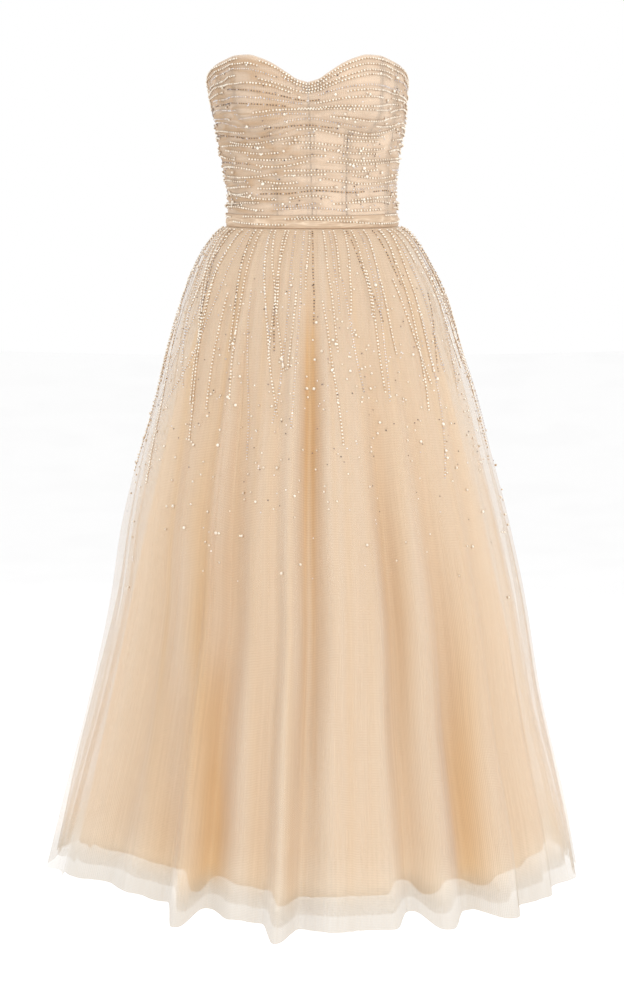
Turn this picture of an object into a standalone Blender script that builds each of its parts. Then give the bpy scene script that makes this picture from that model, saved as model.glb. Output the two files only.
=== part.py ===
"""Strapless cocktail dress with a ruched, cupped bodice and a full three-layer skirt.

Units are metres, +Z is up. The origin is the middle of the waist seam, where the wearer holds
the dress. The front faces -Y. Left and right in the names are as seen from the front, so a left
piece lies at -X. An angle is measured round the body from the centre front (0) towards +X (90),
and the centre back is 180.
"""
import math

import bpy
import numpy as np

# ---------------------------------------------------------------- cloth and seams
SEAM_GAP = 0.0003            # space between two pieces at a seam
BODICE_WALL = 0.0020         # corset fabric and its tulle, together
BAND_WALL = 0.0020
TULLE_WALL = 0.0012
LINING_WALL = 0.0015
PLEAT_HEIGHT = 0.0013        # how far a ruche stands off the bodice
PLEAT_SWAY = 0.0012          # how far a ruche wanders up and down
PLEAT_ROWS_LOW = 22          # grid rows from the waist band to the wire seam, two to a ruche
PLEAT_ROWS_CUP = 14          # grid rows over the cups

# ---------------------------------------------------------------- seams of the bodice, in degrees
CUP_START = 6.0              # where the wire seam leaves the neckline
PRINCESS_SEAM = 24.0
CUP_SEAM_LOW = 39.0          # seam inside the cup, at the wire
CUP_SEAM_HIGH = 47.0         # the same seam at the neckline
SIDE_FRONT_SEAM = 64.0
SIDE_BACK_SEAM = 112.0
BACK_COLUMNS = 5             # grid columns of a back panel
CENTRE_BACK = 180.0
BAND_HEIGHT = 0.0185

# ---------------------------------------------------------------- cups
CUP_DEPTH = 0.032
CUP_MIDDLE_ANGLE = 29.0
CUP_HALF_ANGLE = 31.0
CUP_APEX_HEIGHT = 0.170
CUP_REACH_UP = 0.120
CUP_REACH_DOWN = 0.046

# ---------------------------------------------------------------- skirt
SKIRT_LENGTH = 0.952         # waist seam to the raw hem of the outer tulle
INNER_TULLE_LENGTH = 0.934
LINING_LENGTH = 0.915
COLUMNS_PER_FOLD_LINE = 3    # outer tulle: grid columns from one crest or trough to the next
INNER_TULLE_FOLD = 0.90      # share of the outer tulle's fold depth
LINING_FOLD = 0.50

# ---------------------------------------------------------------- zip
TAPE_WIDTH = 0.024
TAPE_WALL = 0.0010
TAPE_LOW = -0.130
TAPE_HEIGHTS = (0.0225, 0.030, 0.037, 0.046, 0.060, 0.080, 0.105, 0.135, 0.1715)   # rows behind the bodice
ZIP_CLEARANCE = 0.0008       # tape to cloth
SLIDER_HEIGHT = 0.0095
SLIDER_WIDTH = 0.0070
SLIDER_WALL = 0.0020
SLIDER_TOP = 0.1725
BRIDGE_WIDTH = 0.0016
BRIDGE_WALL = 0.0009
BRIDGE_OPENING = (0.0030, 0.0020)   # height and depth of the opening for the pull tab's bar
PULL_LENGTH = 0.0235
PULL_WIDTH = 0.0062
PULL_WALL = 0.0012
PULL_BAR = 0.0010
PULL_WINDOW = (0.0026, 0.0032)      # width and height of the window that clears the bridge
PULL_WAIST = 0.62                   # width of the tab where it is drawn in, as a share
PULL_CORNERS = 9                    # points round the tab's lower end
CORNER_STEPS = 3                    # edges round a corner of the slider
SLIDER_CORNER = 0.0022


def named_table(names, rows):
    """A table with a named column for each name."""
    return np.array(rows, dtype=[(name, float) for name in names.split()])


# Body of the bodice, an ellipse at each height: half width, depth in front and behind, lean in X.
BODICE_SECTIONS = named_table("height half_width front back lean", [
    (0.000, 0.1245, 0.0890, 0.0885, 0.0005),
    (0.019, 0.1222, 0.0875, 0.0870, 0.0003),
    (0.037, 0.1208, 0.0865, 0.0860, 0.0000),
    (0.060, 0.1222, 0.0880, 0.0865, -0.0008),
    (0.095, 0.1268, 0.0930, 0.0885, -0.0020),
    (0.130, 0.1322, 0.0990, 0.0915, -0.0030),
    (0.165, 0.1378, 0.1035, 0.0935, -0.0040),
    (0.195, 0.1420, 0.1045, 0.0940, -0.0058),
    (0.225, 0.1440, 0.1030, 0.0940, -0.0065),
    (0.255, 0.1440, 0.1000, 0.0940, -0.0065),
])

# Sweetheart neckline: height at each angle, the same on both sides.
NECKLINE = named_table("angle height", [
    (0.0, 0.2070), (6.0, 0.2118), (11.0, 0.2205), (15.0, 0.2275), (19.0, 0.2340), (26.0, 0.2415),
    (34.0, 0.2460), (44.0, 0.2445), (53.0, 0.2395), (65.0, 0.2320), (78.0, 0.2205), (90.0, 0.2080),
    (110.0, 0.1940), (135.0, 0.1830), (180.0, 0.1750),
])

# Wire seam under the cup.
WIRE_SEAM = named_table("angle height", [
    (6.0, 0.2020), (8.0, 0.1890), (10.5, 0.1740), (14.0, 0.1575), (19.5, 0.1440), (25.0, 0.1375),
    (32.0, 0.1340), (43.0, 0.1375), (52.0, 0.1430), (64.0, 0.1520),
])

# The pleat row that runs on from the wire seam, on the side and back panels.
PLEAT_LEVEL = named_table("angle height", [(64.0, 0.1520), (90.0, 0.1420), (112.0, 0.1330), (180.0, 0.1220)])

# Folded waist band: two soft rolls of cloth, height as a share of the band, and how far they stand out.
BAND_ROLLS = named_table("share out", [
    (0.00, 0.0004), (0.20, 0.0021), (0.42, 0.0010), (0.64, 0.0024), (0.86, 0.0015), (1.00, 0.0003),
])

# Sections of the outer tulle, an ellipse at each drop below the waist.
SKIRT_SECTIONS = named_table("drop half_width front back lean", [
    (0.000, 0.1245, 0.0890, 0.0885, 0.0005),
    (0.006, 0.1365, 0.1010, 0.1010, 0.0015),
    (0.020, 0.1500, 0.1150, 0.1155, 0.0015),
    (0.050, 0.1690, 0.1350, 0.1360, 0.0010),
    (0.100, 0.1915, 0.1590, 0.1620, 0.0028),
    (0.170, 0.2140, 0.1850, 0.1900, 0.0029),
    (0.255, 0.2380, 0.2120, 0.2190, 0.0048),
    (0.330, 0.2580, 0.2350, 0.2430, 0.0037),
    (0.432, 0.2830, 0.2620, 0.2720, 0.0050),
    (0.552, 0.3060, 0.2880, 0.2990, 0.0088),
    (0.702, 0.3360, 0.3210, 0.3330, 0.0045),
    (0.854, 0.3745, 0.3610, 0.3740, 0.0028),
    (0.952, 0.3960, 0.3830, 0.3970, 0.0000),
])

# How far the inner tulle hangs inside the outer tulle.
INNER_TULLE_GAP = named_table("drop gap", [
    (0.000, 0.0016), (0.006, 0.0044), (0.020, 0.0065), (0.050, 0.0090), (0.100, 0.0110),
    (0.200, 0.0140), (0.450, 0.0150), (0.952, 0.0120),
])

# Sections of the lining.
LINING_SECTIONS = named_table("drop half_width front back lean", [
    (0.000, 0.1212, 0.0857, 0.0852, 0.0005),
    (0.020, 0.1275, 0.0925, 0.0925, 0.0012),
    (0.050, 0.1385, 0.1045, 0.1050, 0.0010),
    (0.100, 0.1550, 0.1225, 0.1250, 0.0026),
    (0.200, 0.1860, 0.1560, 0.1610, 0.0035),
    (0.380, 0.2330, 0.2080, 0.2160, 0.0040),
    (0.600, 0.2830, 0.2640, 0.2750, 0.0060),
    (0.760, 0.3150, 0.3000, 0.3120, 0.0030),
    (0.952, 0.3560, 0.3430, 0.3570, 0.0000),
])

# Waist gathers of the outer tulle: how deep they are at each drop.
GATHERS = named_table("drop depth", [
    (0.000, 0.0000), (0.006, 0.0008), (0.020, 0.0018), (0.050, 0.0024), (0.100, 0.0020),
    (0.170, 0.0010), (0.255, 0.0000),
])

# Folds of the skirt, a row for each crest (out > 0 or near 0) and each trough between two crests:
# angle at the hem, how much further round it lies at the waist, how far it stands out of the
# section at the hem (mm), the drop at which it is fully formed, and how much the raw hem rises (mm).
SKIRT_FOLDS = named_table("hem_angle drift out full_at rise", [
    (-89.0, 0.0, 0, 0.90, 2), (-77.0, -1.0, -20, 0.90, 9), (-64.0, -2.0, -8, 0.80, 26),
    (-51.0, -2.0, -28, 0.75, 28), (-41.0, -3.0, -10, 0.70, 28), (-32.5, -5.0, -16, 0.85, 24),
    (-27.5, -5.0, 20, 0.90, 0), (-23.0, -6.0, -24, 0.45, 20), (-16.0, -3.0, 0, 0.60, 13),
    (-10.5, -2.5, -8, 0.85, 8), (-7.0, -1.0, 24, 0.85, -11), (-2.5, 0.5, -24, 0.32, -3),
    (4.5, 0.5, 6, 0.60, 0), (10.0, 0.5, 1, 0.80, 0), (16.5, -1.0, 6, 0.60, 0),
    (21.5, 0.0, -24, 0.55, 16), (27.5, 2.0, 18, 0.85, -4), (35.5, 2.0, -20, 0.65, 8),
    (43.5, 3.0, 18, 0.85, -4), (51.0, 3.0, -10, 0.80, 0), (58.0, 3.0, 4, 0.80, 4),
    (66.0, 2.0, -14, 0.90, 6), (75.0, 2.0, 2, 0.90, 6), (82.0, 1.0, -8, 0.90, 4),
    (89.0, 0.0, 0, 0.90, 2), (97.0, 1.0, -14, 0.85, 4), (104.0, 1.0, 8, 0.80, 2),
    (112.0, 2.0, -20, 0.70, 8), (120.0, 1.0, 12, 0.85, 0), (127.0, 1.0, -10, 0.90, 6),
    (135.0, 2.0, 14, 0.80, -3), (142.5, 1.0, -22, 0.60, 8), (150.0, 1.0, 8, 0.80, 2),
    (157.0, 0.0, -12, 0.75, 4), (165.0, 0.0, 12, 0.85, -2), (172.5, 0.0, -14, 0.60, 2),
    (180.0, 0.0, 4, 0.70, 0), (187.0, 0.0, -16, 0.50, 4), (194.0, 0.0, 14, 0.80, -4),
    (201.5, -1.0, -8, 0.90, 6), (209.0, -1.0, 6, 0.80, 4), (216.0, -1.0, -22, 0.65, 8),
    (224.0, -2.0, 16, 0.85, -4), (231.0, -2.0, -12, 0.80, 2), (239.0, -2.0, 6, 0.80, 4),
    (246.0, -1.0, -18, 0.75, 6), (254.0, -1.0, 10, 0.85, -2), (262.5, 0.0, -14, 0.90, 6),
])

OUTER_ROWS = (0.0, 0.006, 0.020, 0.050, 0.105, 0.200, 0.330, 0.500, 0.720, 0.952)
INNER_ROWS = (0.0, 0.006, 0.020, 0.050, 0.115, 0.255, 0.510, 0.952)
LINING_ROWS = (0.0, 0.020, 0.060, 0.160, 0.340, 0.600, 0.952)

# Colour (linear), roughness of each material.
CLOTH_LOOKS = {
    "bodice_cloth": ((0.74, 0.60, 0.45, 1.0), 0.70),
    "band_cloth": ((0.72, 0.57, 0.42, 1.0), 0.70),
    "outer_tulle": ((0.86, 0.73, 0.60, 1.0), 0.80),
    "inner_tulle": ((0.86, 0.70, 0.54, 1.0), 0.80),
    "lining_satin": ((0.84, 0.62, 0.43, 1.0), 0.55),
    "tape": ((0.80, 0.66, 0.50, 1.0), 0.75),
    "zip_metal": ((0.78, 0.68, 0.52, 1.0), 0.35),
}


def read(table, key, value, at):
    """Value at `at` on a smooth curve through the rows, which never overshoots between two rows."""
    x = table[key]
    y = table[value]
    step = np.diff(x)
    rise = np.diff(y) / step
    both = rise[:-1] * rise[1:]
    total = np.where(both > 0, rise[:-1] + rise[1:], 1.0)
    slope = np.concatenate(([rise[0]], np.where(both > 0, 2 * both / total, 0.0), [rise[-1]]))
    at = np.clip(at, x[0], x[-1])
    k = np.clip(np.searchsorted(x, at) - 1, 0, len(x) - 2)
    t = (at - x[k]) / step[k]
    ends = y[k] * (1 + 2 * t) * (1 - t) ** 2 + y[k + 1] * t ** 2 * (3 - 2 * t)
    return ends + step[k] * (slope[k] * t * (1 - t) ** 2 - slope[k + 1] * t ** 2 * (1 - t))


def ease(t):
    """0 to 1 with level ends."""
    t = np.clip(t, 0.0, 1.0)
    return t * t * (3 - 2 * t)


def bell(t):
    """1 in the middle, 0 from -1 and +1 on."""
    return np.cos(np.clip(t, -1, 1) * math.pi / 2) ** 2


# ---------------------------------------------------------------- surfaces
def ellipse_point(angle, half_width, front, back, lean, out):
    """Point of an ellipse whose front and back halves differ, moved out along its normal."""
    turn = np.radians(angle)
    sine = np.sin(turn)
    cosine = np.cos(turn)
    depth = np.where(cosine > 0, front, back)
    across = sine / half_width
    along = -cosine / depth
    size = np.hypot(across, along)
    x = lean + half_width * sine + out * across / size
    y = -depth * cosine + out * along / size
    return x, y


def body_surface(angle, height):
    """Outer face of the bodice without its ruches, with the two cups."""
    away = np.abs(angle)
    reach = np.where(height > CUP_APEX_HEIGHT, CUP_REACH_UP, CUP_REACH_DOWN)
    cup = bell((away - CUP_MIDDLE_ANGLE) / CUP_HALF_ANGLE) * bell((height - CUP_APEX_HEIGHT) / reach)
    section = [read(BODICE_SECTIONS, "height", name, height)
               for name in ("half_width", "front", "back", "lean")]
    x, y = ellipse_point(angle, *section, CUP_DEPTH * cup)
    return np.stack([x, y, height + 0.0 * x], -1)


def body_normal(angle, height):
    """Outward normal of the bodice, from the surface a little to each side."""
    step_angle = 0.05
    step_height = 0.0001
    across = body_surface(angle + step_angle, height) - body_surface(angle - step_angle, height)
    up = body_surface(angle, height + step_height) - body_surface(angle, height - step_height)
    normal = np.cross(across, up)
    return normal / np.linalg.norm(normal, axis=-1, keepdims=True)


def fold_lines(per_line, drop, length, fold_share):
    """Angle, stand-out and hem rise of every grid column at one drop.

    The columns run along the folds: each crest and trough is a column, and between two of them
    the angle goes evenly and the stand-out eases from one to the other.
    """
    count = len(SKIRT_FOLDS)
    place = np.arange(count * per_line) / per_line
    here = place.astype(int)
    after = (here + 1) % count
    along = place - here
    blend = ease(along)
    share = drop / length
    angle = SKIRT_FOLDS["hem_angle"] + SKIRT_FOLDS["drift"] * (1 - share)
    turn = np.where(after == 0, 360.0, 0.0)
    angles = angle[here] * (1 - along) + (angle[after] + turn) * along
    out = SKIRT_FOLDS["out"] * 0.001 * ease(drop / SKIRT_FOLDS["full_at"]) * fold_share
    outs = out[here] * (1 - blend) + out[after] * blend
    rise = SKIRT_FOLDS["rise"] * 0.001
    rises = rise[here] * (1 - blend) + rise[after] * blend
    return angles, outs, rises


def skirt_grid(sections, rows, per_line, length, fold_share, gap_table=None, gathers=False):
    """Outer points of a skirt layer, a ring of points for each row from the hem up to the waist."""
    rings = []
    for row in reversed(rows):
        drop = row * length / SKIRT_LENGTH
        angles, outs, rises = fold_lines(per_line, drop, length, fold_share)
        if gap_table is not None:
            outs = outs - read(gap_table, "drop", "gap", drop)
        if gathers:
            number = np.arange(len(angles))
            uneven = 0.75 + 0.25 * np.sin(1.7 * number)
            outs = outs + (-1.0) ** number * uneven * read(GATHERS, "drop", "depth", drop)
        section = [read(sections, "drop", name, drop)
                   for name in ("half_width", "front", "back", "lean")]
        x, y = ellipse_point(angles, *section, outs)
        share = drop / length
        z = -SEAM_GAP / 2 - drop + rises * share ** 3
        rings.append(np.stack([x, y, z], -1))
    return np.array(rings)


def inset(ring_grid, thickness):
    """Inner points of a tube wall: its outer points moved in by the wall's thickness.

    At a sharp crest the point moves further, so that the wall keeps its thickness on both sides.
    Along the waist seam, the last row, it moves level, so that the layers lie side by side there.
    """
    before = ring_grid - np.roll(ring_grid, 1, axis=1)
    after = np.roll(ring_grid, -1, axis=1) - ring_grid
    up = np.gradient(ring_grid, axis=0)
    up[-1] = (0.0, 0.0, 1.0)
    normals = []
    for across in (before / np.linalg.norm(before, axis=-1, keepdims=True),
                   after / np.linalg.norm(after, axis=-1, keepdims=True)):
        normal = np.cross(across, up)
        normals.append(normal / np.linalg.norm(normal, axis=-1, keepdims=True))
    middle = normals[0] + normals[1]
    middle /= np.linalg.norm(middle, axis=-1, keepdims=True)
    spread = np.clip(np.sum(middle * normals[0], axis=-1, keepdims=True), 0.6, 1.0)
    return ring_grid - middle * thickness / spread


# ---------------------------------------------------------------- closed walls
def sheet_faces(index, rising):
    """Triangles of a grid of vertex numbers, columns to the right and rows upwards, facing out.

    Each quad is cut from its lower left to its upper right corner, or the other way where rising
    is False. Both sides of a wall are cut along the same line, so that a twisted quad of one side
    doesn't reach through the other.
    """
    low_left = index[:-1, :-1]
    low_right = index[:-1, 1:]
    high_left = index[1:, :-1]
    high_right = index[1:, 1:]
    if rising:
        halves = ((low_left, low_right, high_right), (low_left, high_right, high_left))
    else:
        halves = ((low_left, low_right, high_left), (low_right, high_right, high_left))
    return np.concatenate([np.stack(half, -1).reshape(-1, 3) for half in halves]).tolist()


def two_sides(outer_index, inner_index):
    """Triangles of a wall's outer side, and of its inner side, which faces the other way."""
    return sheet_faces(outer_index, True) + sheet_faces(inner_index[:, ::-1], False)


def rim_faces(outer, inner):
    """Faces between an outer and an inner edge, which may have half as many points."""
    share = (len(outer) - 1) // (len(inner) - 1)
    faces = []
    for number, (start, end) in enumerate(zip(inner[:-1], inner[1:])):
        run = outer[number * share:(number + 1) * share + 1]
        if share == 1:
            faces.append([run[0], start, end, run[1]])
        else:
            faces.append([run[0], start, run[1]])
            faces.append([run[1], start, end])
            faces.append([run[1], end, run[2]])
    return faces


def wall_object(name, outer, inner, closed, material):
    """A closed wall between two grids of points; a closed one joins its last column to its first."""
    outer_index = np.arange(outer.shape[0] * outer.shape[1]).reshape(outer.shape[:2])
    inner_index = outer_index.size + np.arange(inner.shape[0] * inner.shape[1]).reshape(inner.shape[:2])
    if closed:
        outer_index = np.hstack([outer_index, outer_index[:, :1]])
        inner_index = np.hstack([inner_index, inner_index[:, :1]])
    faces = two_sides(outer_index, inner_index)
    faces += rim_faces(outer_index[0].tolist(), inner_index[0].tolist())
    faces += rim_faces(outer_index[-1, ::-1].tolist(), inner_index[-1, ::-1].tolist())
    if not closed:
        faces += rim_faces(outer_index[:, -1].tolist(), inner_index[:, -1].tolist())
        faces += rim_faces(outer_index[::-1, 0].tolist(), inner_index[::-1, 0].tolist())
    points = np.concatenate([outer.reshape(-1, 3), inner.reshape(-1, 3)])
    return mesh_object(name, points.tolist(), faces, material)


def mesh_object(name, points, faces, material):
    """A smooth-shaded object with its own mesh and material."""
    mesh = bpy.data.meshes.new(name)
    mesh.from_pydata(points, [], faces)
    mesh.materials.append(cloth_material(material))
    mesh.shade_smooth()
    mesh.set_sharp_from_angle(angle=math.radians(50))
    piece = bpy.data.objects.new(name, mesh)
    bpy.context.scene.collection.objects.link(piece)
    return piece


def cloth_material(name):
    """The material of this name, made the first time it is asked for."""
    material = bpy.data.materials.get(name)
    if material is None:
        material = bpy.data.materials.new(name)
        material.use_nodes = True
        shader = material.node_tree.nodes["Principled BSDF"]
        colour, roughness = CLOTH_LOOKS[name]
        shader.inputs["Base Color"].default_value = colour
        shader.inputs["Roughness"].default_value = roughness
        shader.inputs["Metallic"].default_value = 1.0 if name == "zip_metal" else 0.0
    return material


# ---------------------------------------------------------------- bodice
def ruche(angle, row):
    """How far the ruched tulle stands out: every second row is raised, unevenly, and plain by the zip."""
    raised = row % 2
    uneven = 0.72 + 0.28 * np.sin(2.1 * row + 0.05 * angle)
    plain = 1 - ease((np.abs(angle) - 146.0) / 20.0)
    return PLEAT_HEIGHT * raised * uneven * plain


def panel(name, side, rows, angles, heights):
    """One bodice panel, or its mirror image where side is -1.

    rows holds the pleat row of each level (its lower edge, perhaps a level between, its upper
    edge), angles and heights hold each level's places from the panel's front to its back edge.
    """
    levels = np.array(rows, dtype=float)
    row = np.arange(rows[0], rows[-1] + 1)
    share = np.stack([np.interp(row, levels, line) for line in np.eye(len(rows))], -1)
    angle = share @ np.array(angles, dtype=float)
    height = share @ np.array(heights, dtype=float)
    gap = np.degrees(SEAM_GAP / 2 / BODICE_SECTIONS["half_width"].mean())
    angle[:, 0] += gap
    angle[:, -1] -= gap
    number = row[:, None]
    free = np.min([np.abs(number - level) for level in rows], axis=0)
    spacing = np.gradient(height, axis=0)
    sway = np.minimum(PLEAT_SWAY, spacing / 4)
    height = height + sway * np.sin(1.9 * number + 0.07 * angle) * (free > 0)
    if side < 0:
        angle = -angle[:, ::-1]
        height = height[:, ::-1]
        spacing = spacing[:, ::-1]
    surface = body_surface(angle, height)
    normal = body_normal(angle, height)
    out = np.minimum(ruche(np.abs(angle), number), spacing / 2)
    outer = surface + normal * out[..., None]
    inner = (surface - normal * BODICE_WALL)[::2]
    return wall_object(name, outer, inner, False, "bodice_cloth")


def wire_seam(angles, above):
    """Height of the wire seam; the cup's edge lies a seam gap above it, square to the seam."""
    angles = np.array(angles)
    height = read(WIRE_SEAM, "angle", "height", angles)
    if not above:
        return height
    width = BODICE_SECTIONS["half_width"].mean()
    slope = (read(WIRE_SEAM, "angle", "height", angles + 0.5) - height) / (np.radians(0.5) * width)
    return height + SEAM_GAP * np.hypot(1.0, slope)


def neckline(angles):
    return read(NECKLINE, "angle", "height", np.array(angles))


def build_bodice():
    """Twelve panels: on each side a centre front, a side front, two cup pieces, a side and a back."""
    low = BAND_HEIGHT + SEAM_GAP
    rows_low = PLEAT_ROWS_LOW
    rows_all = PLEAT_ROWS_LOW + PLEAT_ROWS_CUP
    cup_edge = CUP_START - 0.2
    inner_wire = [CUP_START, 9.0, 13.5, 18.5, PRINCESS_SEAM, 32.0, CUP_SEAM_LOW]
    outer_wire = [CUP_SEAM_LOW, 48.0, 56.0, SIDE_FRONT_SEAM]
    inner_neck = [CUP_START, 11.0, 17.0, 23.5, 30.5, 39.0, CUP_SEAM_HIGH]
    outer_neck = [CUP_SEAM_HIGH, 54.0, 59.5, SIDE_FRONT_SEAM]
    side_columns = np.linspace(SIDE_FRONT_SEAM, SIDE_BACK_SEAM, 5)
    back_columns = np.linspace(SIDE_BACK_SEAM, CENTRE_BACK, BACK_COLUMNS + 1)
    side_front = inner_wire[4:] + outer_wire[1:]
    centre_top = [0.0, cup_edge, cup_edge] + inner_wire[1:5]
    centre_low = [0.0, 4.0, 7.0, 11.0, 15.0, 19.5, PRINCESS_SEAM]
    centre_heights = np.concatenate([neckline([0.0, cup_edge]), wire_seam([CUP_START], False),
                                     wire_seam(inner_wire[1:5], False)])
    for side, word in ((-1, "left"), (1, "right")):
        panel(f"front_centre_{word}", side, (0, rows_low), (centre_low, centre_top),
              ([low] * 7, centre_heights))
        panel(f"front_side_{word}", side, (0, rows_low), (side_front, side_front),
              ([low] * len(side_front), wire_seam(side_front, False)))
        panel(f"cup_inner_{word}", side, (rows_low, rows_all), (inner_wire, inner_neck),
              (wire_seam(inner_wire, True), neckline(inner_neck)))
        panel(f"cup_outer_{word}", side, (rows_low, rows_all), (outer_wire, outer_neck),
              (wire_seam(outer_wire, True), neckline(outer_neck)))
        for piece, columns in (("side", side_columns), ("back", back_columns)):
            level = read(PLEAT_LEVEL, "angle", "height", columns)
            panel(f"{piece}_{word}", side, (0, rows_low, rows_all), (columns, columns, columns),
                  ([low] * len(columns), level, neckline(columns)))


def build_waist_band():
    """A narrow folded band round the waist seam, open at the zip."""
    end = CENTRE_BACK - np.degrees(SEAM_GAP / 2 / BODICE_SECTIONS["back"][0])
    angle, share = np.meshgrid(np.linspace(-end, end, 53), BAND_ROLLS["share"])
    height = SEAM_GAP / 2 + share * (BAND_HEIGHT - SEAM_GAP / 2)
    surface = body_surface(angle, height)
    normal = body_normal(angle, height)
    plain = 1 - 0.8 * ease((np.abs(angle) - 172.0) / 6.0)
    outer = surface + normal * (BAND_ROLLS["out"][:, None] * plain)[..., None]
    inner = (surface - normal * BAND_WALL)[::len(BAND_ROLLS) - 1]
    return band_object(outer, inner)


def band_object(outer, inner):
    """The band's wall: many rows outside, two rows inside, so each end is one fan of faces."""
    rows, columns = outer.shape[:2]
    outer_index = np.arange(rows * columns).reshape(rows, columns)
    inner_index = rows * columns + np.arange(2 * columns).reshape(2, columns)
    faces = two_sides(outer_index, inner_index)
    faces += rim_faces(outer_index[0].tolist(), inner_index[0].tolist())
    faces += rim_faces(outer_index[-1, ::-1].tolist(), inner_index[-1, ::-1].tolist())
    faces += end_faces(outer_index[:, -1].tolist(), inner_index[:, -1].tolist())
    faces += end_faces(outer_index[::-1, 0].tolist(), inner_index[::-1, 0].tolist())
    points = np.concatenate([outer.reshape(-1, 3), inner.reshape(-1, 3)])
    return mesh_object("waist_band", points.tolist(), faces, "band_cloth")


def end_faces(outer, inner):
    """Triangles from an edge of many points to an edge of two."""
    half = len(outer) // 2
    faces = [[outer[k], inner[0], outer[k + 1]] for k in range(half)]
    faces.append([outer[half], inner[0], inner[1]])
    faces += [[outer[k], inner[1], outer[k + 1]] for k in range(half, len(outer) - 1)]
    return faces


# ---------------------------------------------------------------- skirt
def build_skirt():
    """Three layers hung from the waist seam, one inside the other; gives the lining's inner points."""
    outer = skirt_grid(SKIRT_SECTIONS, OUTER_ROWS, COLUMNS_PER_FOLD_LINE, SKIRT_LENGTH, 1.0,
                       gathers=True)
    wall_object("skirt_tulle_outer", outer, inset(outer, TULLE_WALL), True, "outer_tulle")
    inner = skirt_grid(SKIRT_SECTIONS, INNER_ROWS, 2, INNER_TULLE_LENGTH, INNER_TULLE_FOLD,
                       INNER_TULLE_GAP)
    wall_object("skirt_tulle_inner", inner, inset(inner, TULLE_WALL), True, "inner_tulle")
    lining = skirt_grid(LINING_SECTIONS, LINING_ROWS, 1, LINING_LENGTH, LINING_FOLD)
    lining_inner = inset(lining, LINING_WALL)
    wall_object("skirt_lining", lining, lining_inner, True, "lining_satin")
    return lining_inner


# ---------------------------------------------------------------- zip
def build_zip_tape(lining_inner):
    """A strip behind the centre back, from just under the neckline to below the waist.

    It lies on the flats beside the centre back line, so its points are taken from the lines of the
    lining and of the back panels at the seam and one grid column to each side of it.
    """
    middle = int(np.argmax(SKIRT_FOLDS["hem_angle"] == CENTRE_BACK))
    skirt = lining_inner[-4:, middle - 1:middle + 2]
    part_way = (TAPE_LOW - skirt[0, 1, 2]) / (skirt[1, 1, 2] - skirt[0, 1, 2])
    lowest = skirt[0] + (skirt[1] - skirt[0]) * part_way
    column = (CENTRE_BACK - SIDE_BACK_SEAM) / BACK_COLUMNS
    angle, height = np.meshgrid([CENTRE_BACK - column, CENTRE_BACK, CENTRE_BACK + column], TAPE_HEIGHTS)
    bodice = body_surface(angle, height) - body_normal(angle, height) * BODICE_WALL
    lines = np.concatenate([lowest[None], skirt[1:], bodice])
    beside = lines - lines[:, 1:2]
    width = np.linalg.norm(beside, axis=-1, keepdims=True)
    outer = lines[:, 1:2] + beside / np.maximum(width, SEAM_GAP) * TAPE_WIDTH / 2
    outer = outer - np.array([0.0, ZIP_CLEARANCE, 0.0])
    inner = outer - np.array([0.0, TAPE_WALL, 0.0])
    wall_object("zip_tape", outer, inner, False, "tape")


def prism(name, outline, low_y, high_y, material):
    """A closed solid: an outline in X and Z, counter-clockwise from the front, carried along Y."""
    count = len(outline)
    points = [(x, low_y, z) for x, z in outline] + [(x, high_y, z) for x, z in outline]
    faces = [list(range(count)), list(range(2 * count - 1, count - 1, -1))]
    faces += [[k, k + count, (k + 1) % count + count, (k + 1) % count] for k in range(count)]
    return mesh_object(name, points, faces, material)


def rounded_outline(width, low, high, corner):
    """Rectangle outline in X and Z with round corners."""
    side = width / 2 - corner
    corners = ((side, low + corner, -90), (side, high - corner, 0),
               (-side, high - corner, 90), (-side, low + corner, 180))
    points = []
    for centre_x, centre_z, start in corners:
        for turn in np.radians(start + np.linspace(0, 90, CORNER_STEPS + 1)):
            points.append((centre_x + corner * math.cos(turn), centre_z + corner * math.sin(turn)))
    return points


def tab_outline():
    """Pull tab outline: square at the bar, drawn in at the waist, round at the lower end."""
    half = PULL_WIDTH / 2
    round_end = half * 0.92
    centre = PULL_BAR / 2 + round_end - PULL_LENGTH
    turns = np.radians(np.linspace(-165, -15, PULL_CORNERS))
    end = [(round_end * math.cos(turn), centre + round_end * math.sin(turn)) for turn in turns]
    waist = PULL_WAIST * half
    right = [(waist, -PULL_LENGTH * 0.45), (half, -PULL_LENGTH * 0.25), (half, PULL_BAR / 2)]
    left = [(-x, z) for x, z in reversed(right)]
    return end + right + left


def hidden_tool(piece, parent):
    """A shape that only cuts or joins another one."""
    piece.hide_render = True
    piece.display_type = "WIRE"
    piece.parent = parent
    return piece


def combine(piece, tool, operation):
    modifier = piece.modifiers.new(tool.name, "BOOLEAN")
    modifier.operation = operation
    modifier.object = tool


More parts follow.
